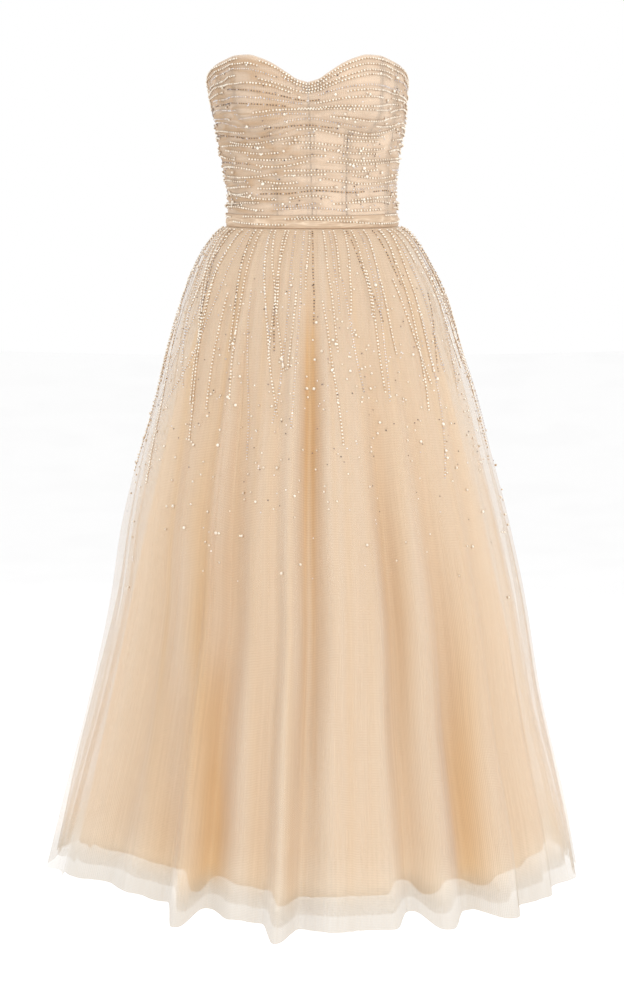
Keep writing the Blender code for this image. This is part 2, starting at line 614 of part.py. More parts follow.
def build_zip_slider_and_pull():
    """Slider body with its bridge, and the pull tab whose bar lies in the bridge.

    Both are made round an empty on the tab's hinge axis, which runs along X.
    """
    height = SLIDER_TOP - SLIDER_HEIGHT / 2
    cloth = read(BODICE_SECTIONS, "height", "back", SLIDER_TOP) + SEAM_GAP
    opening_height, opening_depth = BRIDGE_OPENING
    axis_y = cloth + SLIDER_WALL + opening_depth / 2
    hinge = bpy.data.objects.new("pull_hinge", None)
    bpy.context.scene.collection.objects.link(hinge)
    hinge.location = (float(read(BODICE_SECTIONS, "height", "lean", height)), float(axis_y), height)

    face = -opening_depth / 2
    outline = rounded_outline(SLIDER_WIDTH, -SLIDER_HEIGHT / 2, SLIDER_HEIGHT / 2, SLIDER_CORNER)
    body = prism("zip_slider", outline, face - SLIDER_WALL, face, "zip_metal")
    body.parent = hinge
    inner = opening_height / 2
    outer = inner + BRIDGE_WALL
    root = face - SLIDER_WALL / 2
    span = opening_depth / 2
    profile = [(root, -outer), (span + BRIDGE_WALL, -outer), (span + BRIDGE_WALL, outer), (root, outer),
               (root, inner), (span, inner), (span, -inner), (root, -inner)]
    points = [(side * BRIDGE_WIDTH / 2, y, z) for side in (-1, 1) for y, z in profile]
    count = len(profile)
    faces = [list(range(count))[::-1], list(range(count, 2 * count))]
    faces += [[k, (k + 1) % count, (k + 1) % count + count, k + count] for k in range(count)]
    bridge = hidden_tool(mesh_object("bridge_shape", points, faces, "zip_metal"), hinge)
    combine(body, bridge, "UNION")

    tab = prism("zip_pull", tab_outline(), -PULL_WALL / 2, PULL_WALL / 2, "zip_metal")
    tab.parent = hinge
    window_width, window_height = PULL_WINDOW
    window_low = -PULL_BAR / 2 - window_height
    window = prism("window_shape", rounded_outline(window_width, window_low, -PULL_BAR / 2, window_width / 5),
                   -PULL_WALL, PULL_WALL, "zip_metal")
    combine(tab, hidden_tool(window, hinge), "DIFFERENCE")


def main():
    for thing in list(bpy.data.objects):
        bpy.data.objects.remove(thing, do_unlink=True)
    build_bodice()
    build_waist_band()
    build_zip_tape(build_skirt())
    build_zip_slider_and_pull()
    bpy.context.view_layer.update()


main()
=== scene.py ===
"""Strapless cocktail dress, dressed for its picture.

A boned corset bodice is covered with ruched net and sewn with strings of small pearls and cut
stones. A full skirt of two layers of soft net over a satin lining hangs from a folded waist band.
Units are metres, +Z is up, the front faces -Y. An angle is measured round the body from the
centre front (0) towards +X (90); a place in the skirt is counted in fold lines round it.
"""
import math

import bpy
import numpy as np
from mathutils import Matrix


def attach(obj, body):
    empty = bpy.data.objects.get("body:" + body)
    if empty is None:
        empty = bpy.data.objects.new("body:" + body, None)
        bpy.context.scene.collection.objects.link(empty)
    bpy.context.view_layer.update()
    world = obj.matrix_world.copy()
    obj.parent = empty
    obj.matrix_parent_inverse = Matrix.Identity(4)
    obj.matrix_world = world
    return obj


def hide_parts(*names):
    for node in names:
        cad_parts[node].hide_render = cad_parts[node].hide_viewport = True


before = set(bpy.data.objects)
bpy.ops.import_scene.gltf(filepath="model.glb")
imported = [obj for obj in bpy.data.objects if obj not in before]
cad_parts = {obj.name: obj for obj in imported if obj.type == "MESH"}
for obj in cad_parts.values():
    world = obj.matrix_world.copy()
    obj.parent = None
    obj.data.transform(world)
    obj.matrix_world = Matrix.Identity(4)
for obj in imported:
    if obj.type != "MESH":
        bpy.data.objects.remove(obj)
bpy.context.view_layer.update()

# ---- sizes
SEAM_GAP = 0.0003
BODICE_WALL = 0.0020
CLOTH_INSET = 0.0002  # the corset cloth lies this far inside the solids' faces
NET_STAND = 0.0005  # the ruched net lies this far outside them, between ruches
BODY_RADIUS = 0.13  # a middling radius, which turns angles into lengths of cloth
WAIST_RADIUS = 0.11
BAND_HEIGHT = 0.0185
BAND_THICKNESS = 0.0012
RUCHE_DEPTH = 0.0026
FINE_RUCHE_DEPTH = 0.0009
CREASE_DEPTH = 0.0016  # of the band
FINE_CREASE_DEPTH = 0.0008
CUP_START = 6.0
PRINCESS_SEAM = 24.0
CUP_SEAM_LOW = 39.0
CUP_SEAM_HIGH = 47.0
SIDE_FRONT_SEAM = 64.0
SIDE_BACK_SEAM = 112.0
CENTRE_BACK = 180.0
BACK_EDGE = CENTRE_BACK - np.degrees(SEAM_GAP / 2 / 0.09)  # the back lies 9 cm from the middle
CUP_DEPTH = 0.032
CUP_MIDDLE_ANGLE = 29.0
CUP_HALF_ANGLE = 31.0
CUP_APEX_HEIGHT = 0.170
CUP_REACH_UP = 0.120
CUP_REACH_DOWN = 0.046
RUCHE_MIDDLE = 0.60  # share of the ruche lines that lies below the cups
OUTER_LENGTH = 0.952
INNER_LENGTH = 0.934
LINING_LENGTH = 0.915
PEARL = 0.0031  # a small pearl, across
BIG_PEARL = 0.0046
STONE = 0.0022  # a cut stone, across
PEARL_PITCH = 0.0047
STONE_PITCH = 0.0040
ZIP_TAPE_WIDTH = 0.024
TAPE_THICKNESS = 0.0007
ZIP_LOW = -0.126
ZIP_HIGH = 0.166
COIL_PITCH = 0.0016  # an invisible zip has about six coils to the centimetre
COIL_HALF_WIDTH = 0.0021
COIL_HALF_DEPTH = 0.0007
COIL_INSET = 0.0021  # from the tape's outer face to the middle of the coil
COIL_WIRE = 0.00034  # half the thickness of its nylon wire
# The thread is drawn wide and darker than the net, so that it also stands in for the shade between
# beads: painted shade.
THREAD_WIDTH = 0.0014  # a doubled thread, drawn a little wide


def named_table(names, rows):
    """A table with a named column for each name."""
    return np.array(rows, dtype=[(name, float) for name in names.split()])


BODICE_SECTIONS = named_table("height half_width front back lean", [
    (0, 0.1245, 0.089, 0.0885, 0.0005), (0.019, 0.1222, 0.0875, 0.087, 0.0003),
    (0.037, 0.1208, 0.0865, 0.086, 0), (0.06, 0.1222, 0.088, 0.0865, -0.0008),
    (0.095, 0.1268, 0.093, 0.0885, -0.002), (0.13, 0.1322, 0.099, 0.0915, -0.003),
    (0.165, 0.1378, 0.1035, 0.0935, -0.004), (0.195, 0.142, 0.1045, 0.094, -0.0058),
    (0.225, 0.144, 0.103, 0.094, -0.0065), (0.255, 0.144, 0.1, 0.094, -0.0065),
])
NECKLINE = named_table("angle height", [
    (0, 0.207), (6, 0.2118), (11, 0.2205), (15, 0.2275), (19, 0.234), (26, 0.2415), (34, 0.246),
    (44, 0.2445), (53, 0.2395), (65, 0.232), (78, 0.2205), (90, 0.208), (110, 0.194), (135, 0.183),
    (180, 0.175),
])
WIRE_SEAM = named_table("angle height", [
    (6, 0.202), (8, 0.189), (10.5, 0.174), (14, 0.1575), (19.5, 0.144), (25, 0.1375), (32, 0.134),
    (43, 0.1375), (52, 0.143), (64, 0.152),
])
# The ruche line that runs under the cups and on round the sides and the back.
RUCHE_GUIDE = named_table("angle height", [
    (0, 0.156), (12, 0.15), (30, 0.144), (45, 0.145), (64, 0.148), (90, 0.14), (112, 0.131),
    (180, 0.121),
])
BAND_ROLLS = named_table("share out", [
    (0, 0.0002), (0.12, 0.0009), (0.34, 0.0012), (0.48, 0.0007), (0.62, 0.0011), (0.82, 0.001),
    (1, 0.0008),
])
SKIRT_SECTIONS = named_table("drop half_width front back lean", [
    (0, 0.1245, 0.089, 0.0885, 0.0005), (0.006, 0.1365, 0.101, 0.101, 0.0015),
    (0.02, 0.15, 0.115, 0.1155, 0.0015), (0.05, 0.169, 0.135, 0.136, 0.001),
    (0.1, 0.1915, 0.159, 0.162, 0.0028), (0.17, 0.214, 0.185, 0.19, 0.0029),
    (0.255, 0.238, 0.212, 0.219, 0.0048), (0.33, 0.258, 0.235, 0.243, 0.0037),
    (0.432, 0.283, 0.262, 0.272, 0.005), (0.552, 0.306, 0.288, 0.299, 0.0088),
    (0.702, 0.336, 0.321, 0.333, 0.0045), (0.854, 0.3745, 0.361, 0.374, 0.0028),
    (0.952, 0.396, 0.383, 0.397, 0),
])
INNER_GAP = named_table("drop gap", [
    (0, 0.0016), (0.006, 0.0044), (0.02, 0.0065), (0.05, 0.009), (0.1, 0.011), (0.2, 0.014),
    (0.45, 0.015), (0.952, 0.012),
])
NO_GAP = named_table("drop gap", [(0.0, 0.0), (0.952, 0.0)])
LINING_SECTIONS = named_table("drop half_width front back lean", [
    (0, 0.1212, 0.0857, 0.0852, 0.0005), (0.02, 0.1275, 0.0925, 0.0925, 0.0012),
    (0.05, 0.1385, 0.1045, 0.105, 0.001), (0.1, 0.155, 0.1225, 0.125, 0.0026),
    (0.2, 0.186, 0.156, 0.161, 0.0035), (0.38, 0.233, 0.208, 0.216, 0.004),
    (0.6, 0.283, 0.264, 0.275, 0.006), (0.76, 0.315, 0.3, 0.312, 0.003),
    (0.952, 0.356, 0.343, 0.357, 0),
])
# Each crest and each trough between two crests: angle at the hem, how much further round it lies
# at the waist, stand-out at the hem (mm), the drop at which it is fully formed, hem rise (mm).
SKIRT_FOLDS = named_table("hem_angle drift out full_at rise", [
    (-89, 0, 0, 0.9, 2), (-77, -1, -20, 0.9, 9), (-64, -2, -8, 0.8, 26), (-51, -2, -28, 0.75, 28),
    (-41, -3, -10, 0.7, 28), (-32.5, -5, -16, 0.85, 24), (-27.5, -5, 20, 0.9, 0),
    (-23, -6, -24, 0.45, 20), (-16, -3, 0, 0.6, 13), (-10.5, -2.5, -8, 0.85, 8),
    (-7, -1, 24, 0.85, -11), (-2.5, 0.5, -24, 0.32, -3), (4.5, 0.5, 6, 0.6, 0),
    (10, 0.5, 1, 0.8, 0), (16.5, -1, 6, 0.6, 0), (21.5, 0, -24, 0.55, 16), (27.5, 2, 18, 0.85, -4),
    (35.5, 2, -20, 0.65, 8), (43.5, 3, 18, 0.85, -4), (51, 3, -10, 0.8, 0), (58, 3, 4, 0.8, 4),
    (66, 2, -14, 0.9, 6), (75, 2, 2, 0.9, 6), (82, 1, -8, 0.9, 4), (89, 0, 0, 0.9, 2),
    (97, 1, -14, 0.85, 4), (104, 1, 8, 0.8, 2), (112, 2, -20, 0.7, 8), (120, 1, 12, 0.85, 0),
    (127, 1, -10, 0.9, 6), (135, 2, 14, 0.8, -3), (142.5, 1, -22, 0.6, 8), (150, 1, 8, 0.8, 2),
    (157, 0, -12, 0.75, 4), (165, 0, 12, 0.85, -2), (172.5, 0, -14, 0.6, 2), (180, 0, 4, 0.7, 0),
    (187, 0, -16, 0.5, 4), (194, 0, 14, 0.8, -4), (201.5, -1, -8, 0.9, 6), (209, -1, 6, 0.8, 4),
    (216, -1, -22, 0.65, 8), (224, -2, 16, 0.85, -4), (231, -2, -12, 0.8, 2), (239, -2, 6, 0.8, 4),
    (246, -1, -18, 0.75, 6), (254, -1, 10, 0.85, -2), (262.5, 0, -14, 0.9, 6),
])
FOLDS = len(SKIRT_FOLDS)
# Small folds of the net between the large ones: tight ones at the waist that die out, and wider
# ones that grow downwards. Depths in metres.
SMALL_FOLDS = named_table("drop tight middle wide", [
    (0, 0, 0, 0), (0.006, 0.0012, 0.0003, 0), (0.02, 0.0017, 0.0014, 0.0006),
    (0.06, 0.0011, 0.0024, 0.0018), (0.13, 0.0004, 0.0021, 0.0032), (0.26, 0.0002, 0.0013, 0.0032),
    (0.5, 0.0001, 0.001, 0.0026), (0.952, 0.0001, 0.001, 0.003),
])
# Sections, gap inside them, length, share of the large and of the small folds, seed.
SKIRT_LAYERS = {
    "outer": (SKIRT_SECTIONS, NO_GAP, OUTER_LENGTH, 1.00, 1.00, 11),
    "inner": (SKIRT_SECTIONS, INNER_GAP, INNER_LENGTH, 0.90, 0.80, 23),
    "lining": (LINING_SECTIONS, NO_GAP, LINING_LENGTH, 0.50, 0.35, 37),
}

# Zones where the skirt is drawn darker and warmer, painted shade deep in its folds, and where a net
# is
# also denser for its layers: the angle of such a zone at the waist and at the hem, its half width,
# how strong it is at both (below 0 it is drawn paler), and the drops at which it starts and is
# full.
LAYER_AND_SHADE_ZONES = named_table("waist_angle hem_angle half_width waist_warmth hem_warmth start full", [
    (0, 0, 4.2, 0.6, -0.55, 0.06, 0.2), (0.6, 0.4, 0.9, 0.5, 0.1, 0.06, 0.2),
    (-2.6, -1.8, 0.8, 0.4, 0.1, 0.05, 0.2), (-50, -22, 6.5, 0.62, 0.6, 0.1, 0.55),
    (-66, -35, 5, 0.35, 0.35, 0.35, 0.7), (28, 15.5, 6, 0.25, -0.05, 0.1, 0.5),
    (60, 36, 6, 0.45, 0.45, 0.4, 0.8), (-16, -13, 3, 0.2, 0.1, 0.05, 0.4),
    (14, 8, 1.4, 0.25, 0.15, 0.05, 0.6), (-8, -4.5, 1.2, 0.35, 0.25, 0.1, 0.6),
    (44, 25, 2, 0.25, 0.15, 0.2, 0.6), (96, 84, 8, 0.4, 0.4, 0.1, 0.5),
    (132, 124, 6, 0.5, 0.5, 0.1, 0.5), (166, 170, 5, 0.55, 0.45, 0.1, 0.5),
    (206, 200, 6, 0.5, 0.5, 0.1, 0.5), (238, 232, 7, 0.45, 0.45, 0.1, 0.5),
    (262, 256, 6, 0.4, 0.4, 0.2, 0.6), (-42, -22, 2.4, 0.5, 0.1, 0.02, 0.1),
    (-24, -12, 1.8, 0.4, 0.05, 0.02, 0.1), (9, 5, 1.3, 0.3, 0.05, 0.02, 0.1),
    (22, 13, 1.8, 0.32, 0.05, 0.02, 0.12), (36, 21, 2.4, 0.42, 0.05, 0.03, 0.14),
    (-62, -40, 2.6, 0.4, 0.1, 0.02, 0.12), (54, 38, 2.6, 0.38, 0.1, 0.02, 0.12),
    (150, 148, 3, 0.4, 0.1, 0.02, 0.12), (190, 192, 2.2, 0.4, 0.1, 0.02, 0.12),
    (222, 218, 3, 0.4, 0.1, 0.02, 0.12), (114, 110, 3, 0.4, 0.1, 0.02, 0.12),
])


# ---- curves
def read(table, key, value, at):
    """Value at `at` on a smooth curve through the rows, which never overshoots between two rows."""
    x = table[key]
    y = table[value]
    step = np.diff(x)
    rise = np.diff(y) / step
    both = rise[:-1] * rise[1:]
    total = np.where(both > 0, rise[:-1] + rise[1:], 1.0)
    slope = np.concatenate(([rise[0]], np.where(both > 0, 2 * both / total, 0.0), [rise[-1]]))
    at = np.clip(at, x[0], x[-1])
    k = np.clip(np.searchsorted(x, at) - 1, 0, len(x) - 2)
    t = (at - x[k]) / step[k]
    ends = y[k] * (1 + 2 * t) * (1 - t) ** 2 + y[k + 1] * t ** 2 * (3 - 2 * t)
    return ends + step[k] * (slope[k] * t * (1 - t) ** 2 - slope[k + 1] * t ** 2 * (1 - t))


def ease(t):
    """0 to 1 with level ends."""
    t = np.clip(t, 0.0, 1.0)
    return t * t * (3 - 2 * t)


def bell(t):
    """1 in the middle, 0 from -1 and +1 on."""
    return np.cos(np.clip(t, -1, 1) * math.pi / 2) ** 2


def uneven(across, along, period, seed):
    """Smooth uneven values from -1 to 1: random values on a lattice that comes round after
    `period` cells across, eased from one lattice point to the next."""
    lattice = np.random.default_rng(seed).uniform(-1, 1, (period, 128))
    column = np.floor(across).astype(int)
    row = np.floor(along).astype(int)
    s = ease(across - column)
    t = ease(along - row)
    left = column % period
    right = (column + 1) % period
    low = lattice[left, row % 128] * (1 - s) + lattice[right, row % 128] * s
    high = lattice[left, (row + 1) % 128] * (1 - s) + lattice[right, (row + 1) % 128] * s
    return low * (1 - t) + high * t


# ---- surfaces
def ellipse_point(angle, sections, key, at, out):
    """Point of an ellipse read from a table, moved out along its normal.

    Its front and back halves differ in depth, and lean moves it sideways.
    """
    half_width, front, back, lean = (read(sections, key, name, at)
                                     for name in ("half_width", "front", "back", "lean"))
    sine = np.sin(np.radians(angle))
    cosine = np.cos(np.radians(angle))
    depth = np.where(cosine > 0, front, back)
    across = sine / half_width
    along = -cosine / depth
    size = np.hypot(across, along)
    return (lean + half_width * sine + out * across / size, -depth * cosine + out * along / size)


def body_surface(angle, height):
    """Outer face of the corset: an ellipse at each height, with the two cups added."""
    reach = np.where(height > CUP_APEX_HEIGHT, CUP_REACH_UP, CUP_REACH_DOWN)
    cup = bell((np.abs(angle) - CUP_MIDDLE_ANGLE) / CUP_HALF_ANGLE)
    cup = cup * bell((height - CUP_APEX_HEIGHT) / reach)
    x, y = ellipse_point(angle, BODICE_SECTIONS, "height", height, CUP_DEPTH * cup)
    return np.stack([x, y, height + 0.0 * x], -1)


def surface_normal(surface, u, v, step_u, step_v):
    """Outward normal of surface(u, v), from points a little to each side."""
    across = surface(u + step_u, v) - surface(u - step_u, v)
    up = surface(u, v + step_v) - surface(u, v - step_v)
    normal = np.cross(across, up)
    return normal / np.linalg.norm(normal, axis=-1, keepdims=True)


def body_normal(angle, height):
    return surface_normal(body_surface, angle, height, 0.05, 0.0001)


def ruche_level(angle, share):
    """Height of a ruche line: share 0 lies at the waist band and 1 at the neckline."""
    low = BAND_HEIGHT + SEAM_GAP
    middle = read(RUCHE_GUIDE, "angle", "height", np.hypot(angle, 9.0) - 9.0)
    top = read(NECKLINE, "angle", "height", np.abs(angle))
    below = low + (middle - low) * share / RUCHE_MIDDLE
    above = middle + (top - middle) * (share - RUCHE_MIDDLE) / (1 - RUCHE_MIDDLE)
    return np.where(share < RUCHE_MIDDLE, below, above)


def ruche_height(angle, share):
    """How far the ruched net stands off the corset, in metres.

    Two sets of long, thin ridges, where uneven() crosses zero, wander up and down a little. They
    are deeper on the wearer's right and at the sides, and fade by the zip, the band and the top.
    """
    sway = share + 0.016 * uneven(angle / 24.0, share * 7.0, 15, 3)
    coarse = (1 - np.abs(uneven(angle / 18.0, sway * 30.0, 20, 5))) ** 3
    fine = (1 - np.abs(uneven(angle / 12.0, sway * 74.0, 30, 7))) ** 3
    side = 0.55 + 0.45 * ease((8.0 - angle) / 50.0) + 0.35 * ease((angle - 45.0) / 25.0)
    fade = 1 - ease((np.abs(angle) - 160.0) / 14.0)
    ends = ease(share / 0.03) * ease((1.0 - share) / 0.03)
    return (RUCHE_DEPTH * coarse + FINE_RUCHE_DEPTH * fine) * side * fade * ends


def ruched_surface(angle, share):
    """Outer face of the ruched net over the corset."""
    height = ruche_level(angle, share)
    out = NET_STAND + ruche_height(angle, share)
    return body_surface(angle, height) + body_normal(angle, height) * out[..., None]


def skirt_surface(layer, place, drop):
    """Point of a skirt layer at a place in the folds and a drop below the waist.

    Each crest and trough of SKIRT_FOLDS is a line down the skirt; between two of them the angle
    goes evenly and the stand-out eases across. Three bands of smaller uneven folds are added.
    """
    sections, gap, length, fold_share, small_share, seed = SKIRT_LAYERS[layer]
    whole = np.floor(place).astype(int)
    here = whole % FOLDS
    after = (here + 1) % FOLDS
    along = place - whole
    blend = ease(along)
    share = drop / length
    between = lambda name, t: SKIRT_FOLDS[name][here] * (1 - t) + SKIRT_FOLDS[name][after] * t
    angle = between("hem_angle", along) + np.where(after == 0, 360.0, 0.0) * along
    angle = angle + between("drift", along) * (1 - share)
    out = 0.0
    for line, weight in ((here, 1 - blend), (after, blend)):
        formed = ease(drop / SKIRT_FOLDS["full_at"][line])
        out = out + SKIRT_FOLDS["out"][line] * 0.001 * formed * fold_share * weight
    rise = between("rise", ease((along - 0.15) / 0.7))
    small = 0.0
    for name, cells, rows in (("tight", 192, 9.0), ("middle", 96, 5.0), ("wide", 72, 4.0)):
        wave = uneven(place * cells / FOLDS + 0.8 * share, share * rows, cells, seed + cells)
        small = small + wave * read(SMALL_FOLDS, "drop", name, drop)
    out = out - read(gap, "drop", "gap", drop) + small * small_share
    x, y = ellipse_point(angle, sections, "drop", drop, out)
    ragged = 0.0006 * uneven(place * 6.0, 0.5 + 0.0 * place, FOLDS * 6, seed)
    z = -SEAM_GAP / 2 - drop + (rise * 0.001 + ragged) * share ** 3
    return np.stack([x, y, z], -1)


# ---- meshes
def quads(grid):
    """The four corners of every cell of a grid of point numbers."""
    corners = (grid[:-1, :-1], grid[:-1, 1:], grid[1:, 1:], grid[1:, :-1])
    return np.stack(corners, -1).reshape(-1, 4).tolist()


def add_piece(name, points, faces, material, smooth=True):
    """A piece of one material from its points and faces."""
    mesh = bpy.data.meshes.new(name)
    mesh.from_pydata(points.reshape(-1, 3).tolist(), [], faces)
    mesh.materials.append(material)
    if smooth:
        mesh.shade_smooth()
    piece = bpy.data.objects.new(name, mesh)
    bpy.context.scene.collection.objects.link(piece)
    return piece


def mark_points(piece, marks):
    """Stores named values for each point of a piece, for its material to read."""
    for key, values in marks.items():
        mark = piece.data.attributes.new(key, "FLOAT", "POINT")
        mark.data.foreach_set("value", np.ascontiguousarray(values, dtype=float).ravel())


def cloth_piece(name, points, uv, material, marks, thickness=None):
    """A piece from a grid of points, rows upwards and columns to the right seen from outside.

    uv holds the cloth's own coordinates in metres. Where it has one more column than points, the
    grid is closed round. Where a thickness is given, a wall of it is added on the inside.
    """
    index = np.arange(points.size // 3).reshape(points.shape[:2])
    if uv.shape[1] > points.shape[1]:
        index = np.hstack([index, index[:, :1]])
    piece = add_piece(name, points, quads(index), material)
    corners = np.array(quads(np.arange(index.size).reshape(index.shape)))
    layer = piece.data.uv_layers.new(name="cloth")
    layer.uv.foreach_set("vector", uv.reshape(-1, 2)[corners].ravel())
    mark_points(piece, marks)
    if thickness:
        wall = piece.modifiers.new("wall", "SOLIDIFY")
        wall.thickness = thickness
        wall.offset = -1.0
        wall.use_even_offset = True
    return piece


def run_lengths(points):
    """Length along each row of a grid, from its first column."""
    steps = np.linalg.norm(np.diff(points, axis=1), axis=-1)
    return np.hstack([np.zeros((len(points), 1)), np.cumsum(steps, axis=1)])


# ---- materials
def colour(code):
    """Linear RGBA of an sRGB hex colour."""
    value = np.array([int(code[k:k + 2], 16) for k in (1, 3, 5)]) / 255
    linear = np.where(value > 0.04045, ((value + 0.055) / 1.055) ** 2.4, value / 12.92)
    return (*linear.tolist(), 1.0)


def feed(node, inputs):
    """Gives a node's sockets their numbers and colours, or links other nodes' outputs to them."""
    for socket, value in inputs.items():
        if isinstance(value, bpy.types.NodeSocket):
            node.id_data.links.new(value, node.inputs[socket])
        else:
            node.inputs[socket].default_value = value


def add_node(material, kind, output, inputs=None, **settings):
    """Adds a node with its inputs and settings, and returns the one output that is used."""
    node = material.node_tree.nodes.new("ShaderNode" + kind)
    for key, value in settings.items():
        setattr(node, key, value)
    feed(node, inputs or {})
    return node.outputs[output]


def new_material(name, values):
    """A material and its shader, with the shader's even values set on its own sockets."""
    material = bpy.data.materials.new(name)
    material.use_nodes = True
    shader = material.node_tree.nodes["Principled BSDF"]
    feed(shader, values)
    return material, shader


def net_material(name, crest, trough, painted_shade_colour, mark, cover, folded, cell_mm, streak):
    """Soft nylon net, knitted in open cells: see-through between threads, denser where it folds.

    crest and trough are the colours on a fold and deep in it, read from the piece's own mark; the
    darker trough is painted shade. cover is how much a hole and a thread hide, and folded is what a
    fold adds to both. `hem` adds a little at a raw hem, and the mark for the open sides takes away
    where the net hangs open, without folds; the colour after trough is the greyish one at both,
    painted shade. A real cell is 1 to 1.5 mm, under a pixel here, so it is drawn a little coarser.
    streak is how many crinkles lie along a metre, across the cloth and down it.
    """
    material, shader = new_material(name, {"Roughness": 0.88, "Sheen Weight": 0.10,
                                           "Sheen Roughness": 0.45, "Specular IOR Level": 0.12})
    uv = add_node(material, "UVMap", "UV", uv_map="cloth")
    fold, hem, sheer_and_shade = (add_node(material, "Attribute", "Fac", attribute_name=key)
                        for key in (mark, "hem", "sheer_and_shade"))
    cells = add_node(material, "TexVoronoi", "Distance",
                     {"Vector": uv, "Scale": 1000 / cell_mm, "Randomness": 0.35},
                     feature="DISTANCE_TO_EDGE", voronoi_dimensions="2D")
    strand = add_node(material, "MapRange", "Result", {
        "Value": cells, "From Min": 0.05, "From Max": 0.22, "To Min": cover[1], "To Max": cover[0]})
    stretch = add_node(material, "Mapping", "Vector", {"Vector": uv, "Scale": streak})
    crinkle = add_node(material, "TexNoise", "Fac", {
        "Vector": stretch, "Scale": 1.0, "Detail": 3.0, "Roughness": 0.6}, noise_dimensions="2D")
    denser = add_node(material, "MapRange", "Result", {
        "Value": crinkle, "From Min": 0.3, "From Max": 0.7, "To Min": -0.03, "To Max": 0.035})
    single = add_node(material, "Math", "Value", {0: strand, 1: denser}, operation="ADD")
    thicker = add_node(material, "MapRange", "Result", {
        "Value": hem, "From Min": 0.20, "To Max": 0.20}, interpolation_type="SMOOTHSTEP")
    raw_edge = add_node(material, "Math", "Value", {0: thicker, 1: single}, operation="ADD")
    layered = add_node(material, "Math", "Value", {0: fold, 1: folded, 2: raw_edge},
                       operation="MULTIPLY_ADD", use_clamp=True)
    left = add_node(material, "MapRange", "Result", {
        "Value": sheer_and_shade, "To Min": 1.0, "To Max": 0.42})
    hidden = add_node(material, "Math", "Value", {0: layered, 1: left}, operation="MULTIPLY")
    tint = add_node(material, "Mix", "Result", {
        "Factor": fold, "A": colour(crest), "B": colour(trough)}, data_type="RGBA")
    below = add_node(material, "MapRange", "Result", {"Value": hem, "From Min": 0.60},
                     interpolation_type="SMOOTHSTEP")
    # Painted shade: the colour is greyed at the open sides and below the lining's hem.
    shade_greying = add_node(material, "Math", "Value", {0: sheer_and_shade, 1: 0.35, 2: below},
                    operation="MULTIPLY_ADD", use_clamp=True)
    greyer = add_node(material, "Mix", "Result", {
        "Factor": shade_greying, "A": tint, "B": colour(painted_shade_colour)}, data_type="RGBA")
    bump = add_node(material, "Bump", "Normal", {
        "Height": crinkle, "Strength": 0.10, "Distance": 0.0008})
    feed(shader, {"Base Color": greyer, "Alpha": hidden, "Normal": bump})
    return material


def woven_material(name, crest, trough, mark, rib_mm, roughness, wrinkle):
    """Closely woven cloth: fine over-and-under threads, a soft sheen and slack wrinkles.

    Real threads are a few tenths of a millimetre apart, far under a pixel, so they are drawn as
    faint ribs, rib_mm apart (the crests of a wave of scale 1 are 314 mm apart). wrinkle is how
    many slack wrinkles lie along a metre.
    """
    material, shader = new_material(name, {"Roughness": roughness, "Sheen Weight": 0.15,
                                           "Sheen Roughness": 0.4, "Specular IOR Level": 0.35})
    uv = add_node(material, "UVMap", "UV", uv_map="cloth")
    fold = add_node(material, "Attribute", "Fac", attribute_name=mark)
    weft, warp = (add_node(material, "TexWave", "Fac", {
        "Vector": uv, "Scale": 100 * math.pi / rib_mm, "Distortion": 0.6}, bands_direction=way)
        for way in "XY")
    weave = add_node(material, "Math", "Value", {0: weft, 1: warp}, operation="MULTIPLY")
    slack = add_node(material, "TexNoise", "Fac", {
        "Vector": uv, "Scale": wrinkle, "Detail": 3.0, "Roughness": 0.55}, noise_dimensions="2D")
    # The mark mixes crest into trough: painted shade in the satin's folds and between the band's
    # creases; on the coutil it marks the seam lines, on the tape its edges and middle.
    tint = add_node(material, "Mix", "Result", {
        "Factor": fold, "A": colour(crest), "B": colour(trough)}, data_type="RGBA")
    fine = add_node(material, "Bump", "Normal", {
        "Height": weave, "Strength": 0.15, "Distance": 0.0002})
    bump = add_node(material, "Bump", "Normal", {
        "Height": slack, "Normal": fine, "Strength": 0.3, "Distance": 0.002})
    feed(shader, {"Base Color": tint, "Normal": bump})
    return material


def hard_material(name, light, dark, values, patch, shaded):
    """A hard finish whose light colour runs unevenly into a dark one.

    patch is how many uneven patches lie along a metre; shaded is how far the piece's own
    `shade` mark, where it has one, darkens it.
    """
    material, shader = new_material(name, values)
    where = add_node(material, "TexCoord", "Object")
    shade = add_node(material, "Attribute", "Fac", attribute_name="shade")
    noise = add_node(material, "TexNoise", "Fac", {"Vector": where, "Scale": patch, "Detail": 1.0})
    spread = add_node(material, "MapRange", "Result", {
        "Value": noise, "From Min": 0.35, "From Max": 0.65, "To Min": -0.15, "To Max": 0.30})
    factor = add_node(material, "Math", "Value", {0: shade, 1: shaded, 2: spread},
                      operation="MULTIPLY_ADD", use_clamp=True)
    tint = add_node(material, "Mix", "Result", {
        "Factor": factor, "A": colour(light), "B": colour(dark)}, data_type="RGBA")
    feed(shader, {"Base Color": tint})
    return material


# Nylon net, dyed pale champagne. It is drawn greyish at the sides and below the lining, and darker
# and warmer deep in the folds: painted shade.
outer_net = net_material("soft_nylon_net", "#E5D8C7", "#DEBE94", "#C3B5A2", "fold",
                         (0.32, 0.50), 0.12, 2.2, (160.0, 5.0, 1.0))
inner_net = net_material("inner_nylon_net", "#F3E2C8", "#E1B782", "#D4C3AB", "fold",
                         (0.42, 0.58), 0.12, 2.2, (140.0, 5.0, 1.0))
# Ruched net, several thicknesses drawn together: nearly opaque, denser along each ruche and drawn
# darker there as painted shade; lighter on the wearer's left, where the key light falls, and darker
# on the right, as painted light and shade.
ruched_net = net_material("ruched_nylon_net", "#F3E4D2", "#CDB092", "#F3E4D2", "ruche",
                          (0.20, 0.48), 0.42, 2.0, (30.0, 300.0, 1.0))
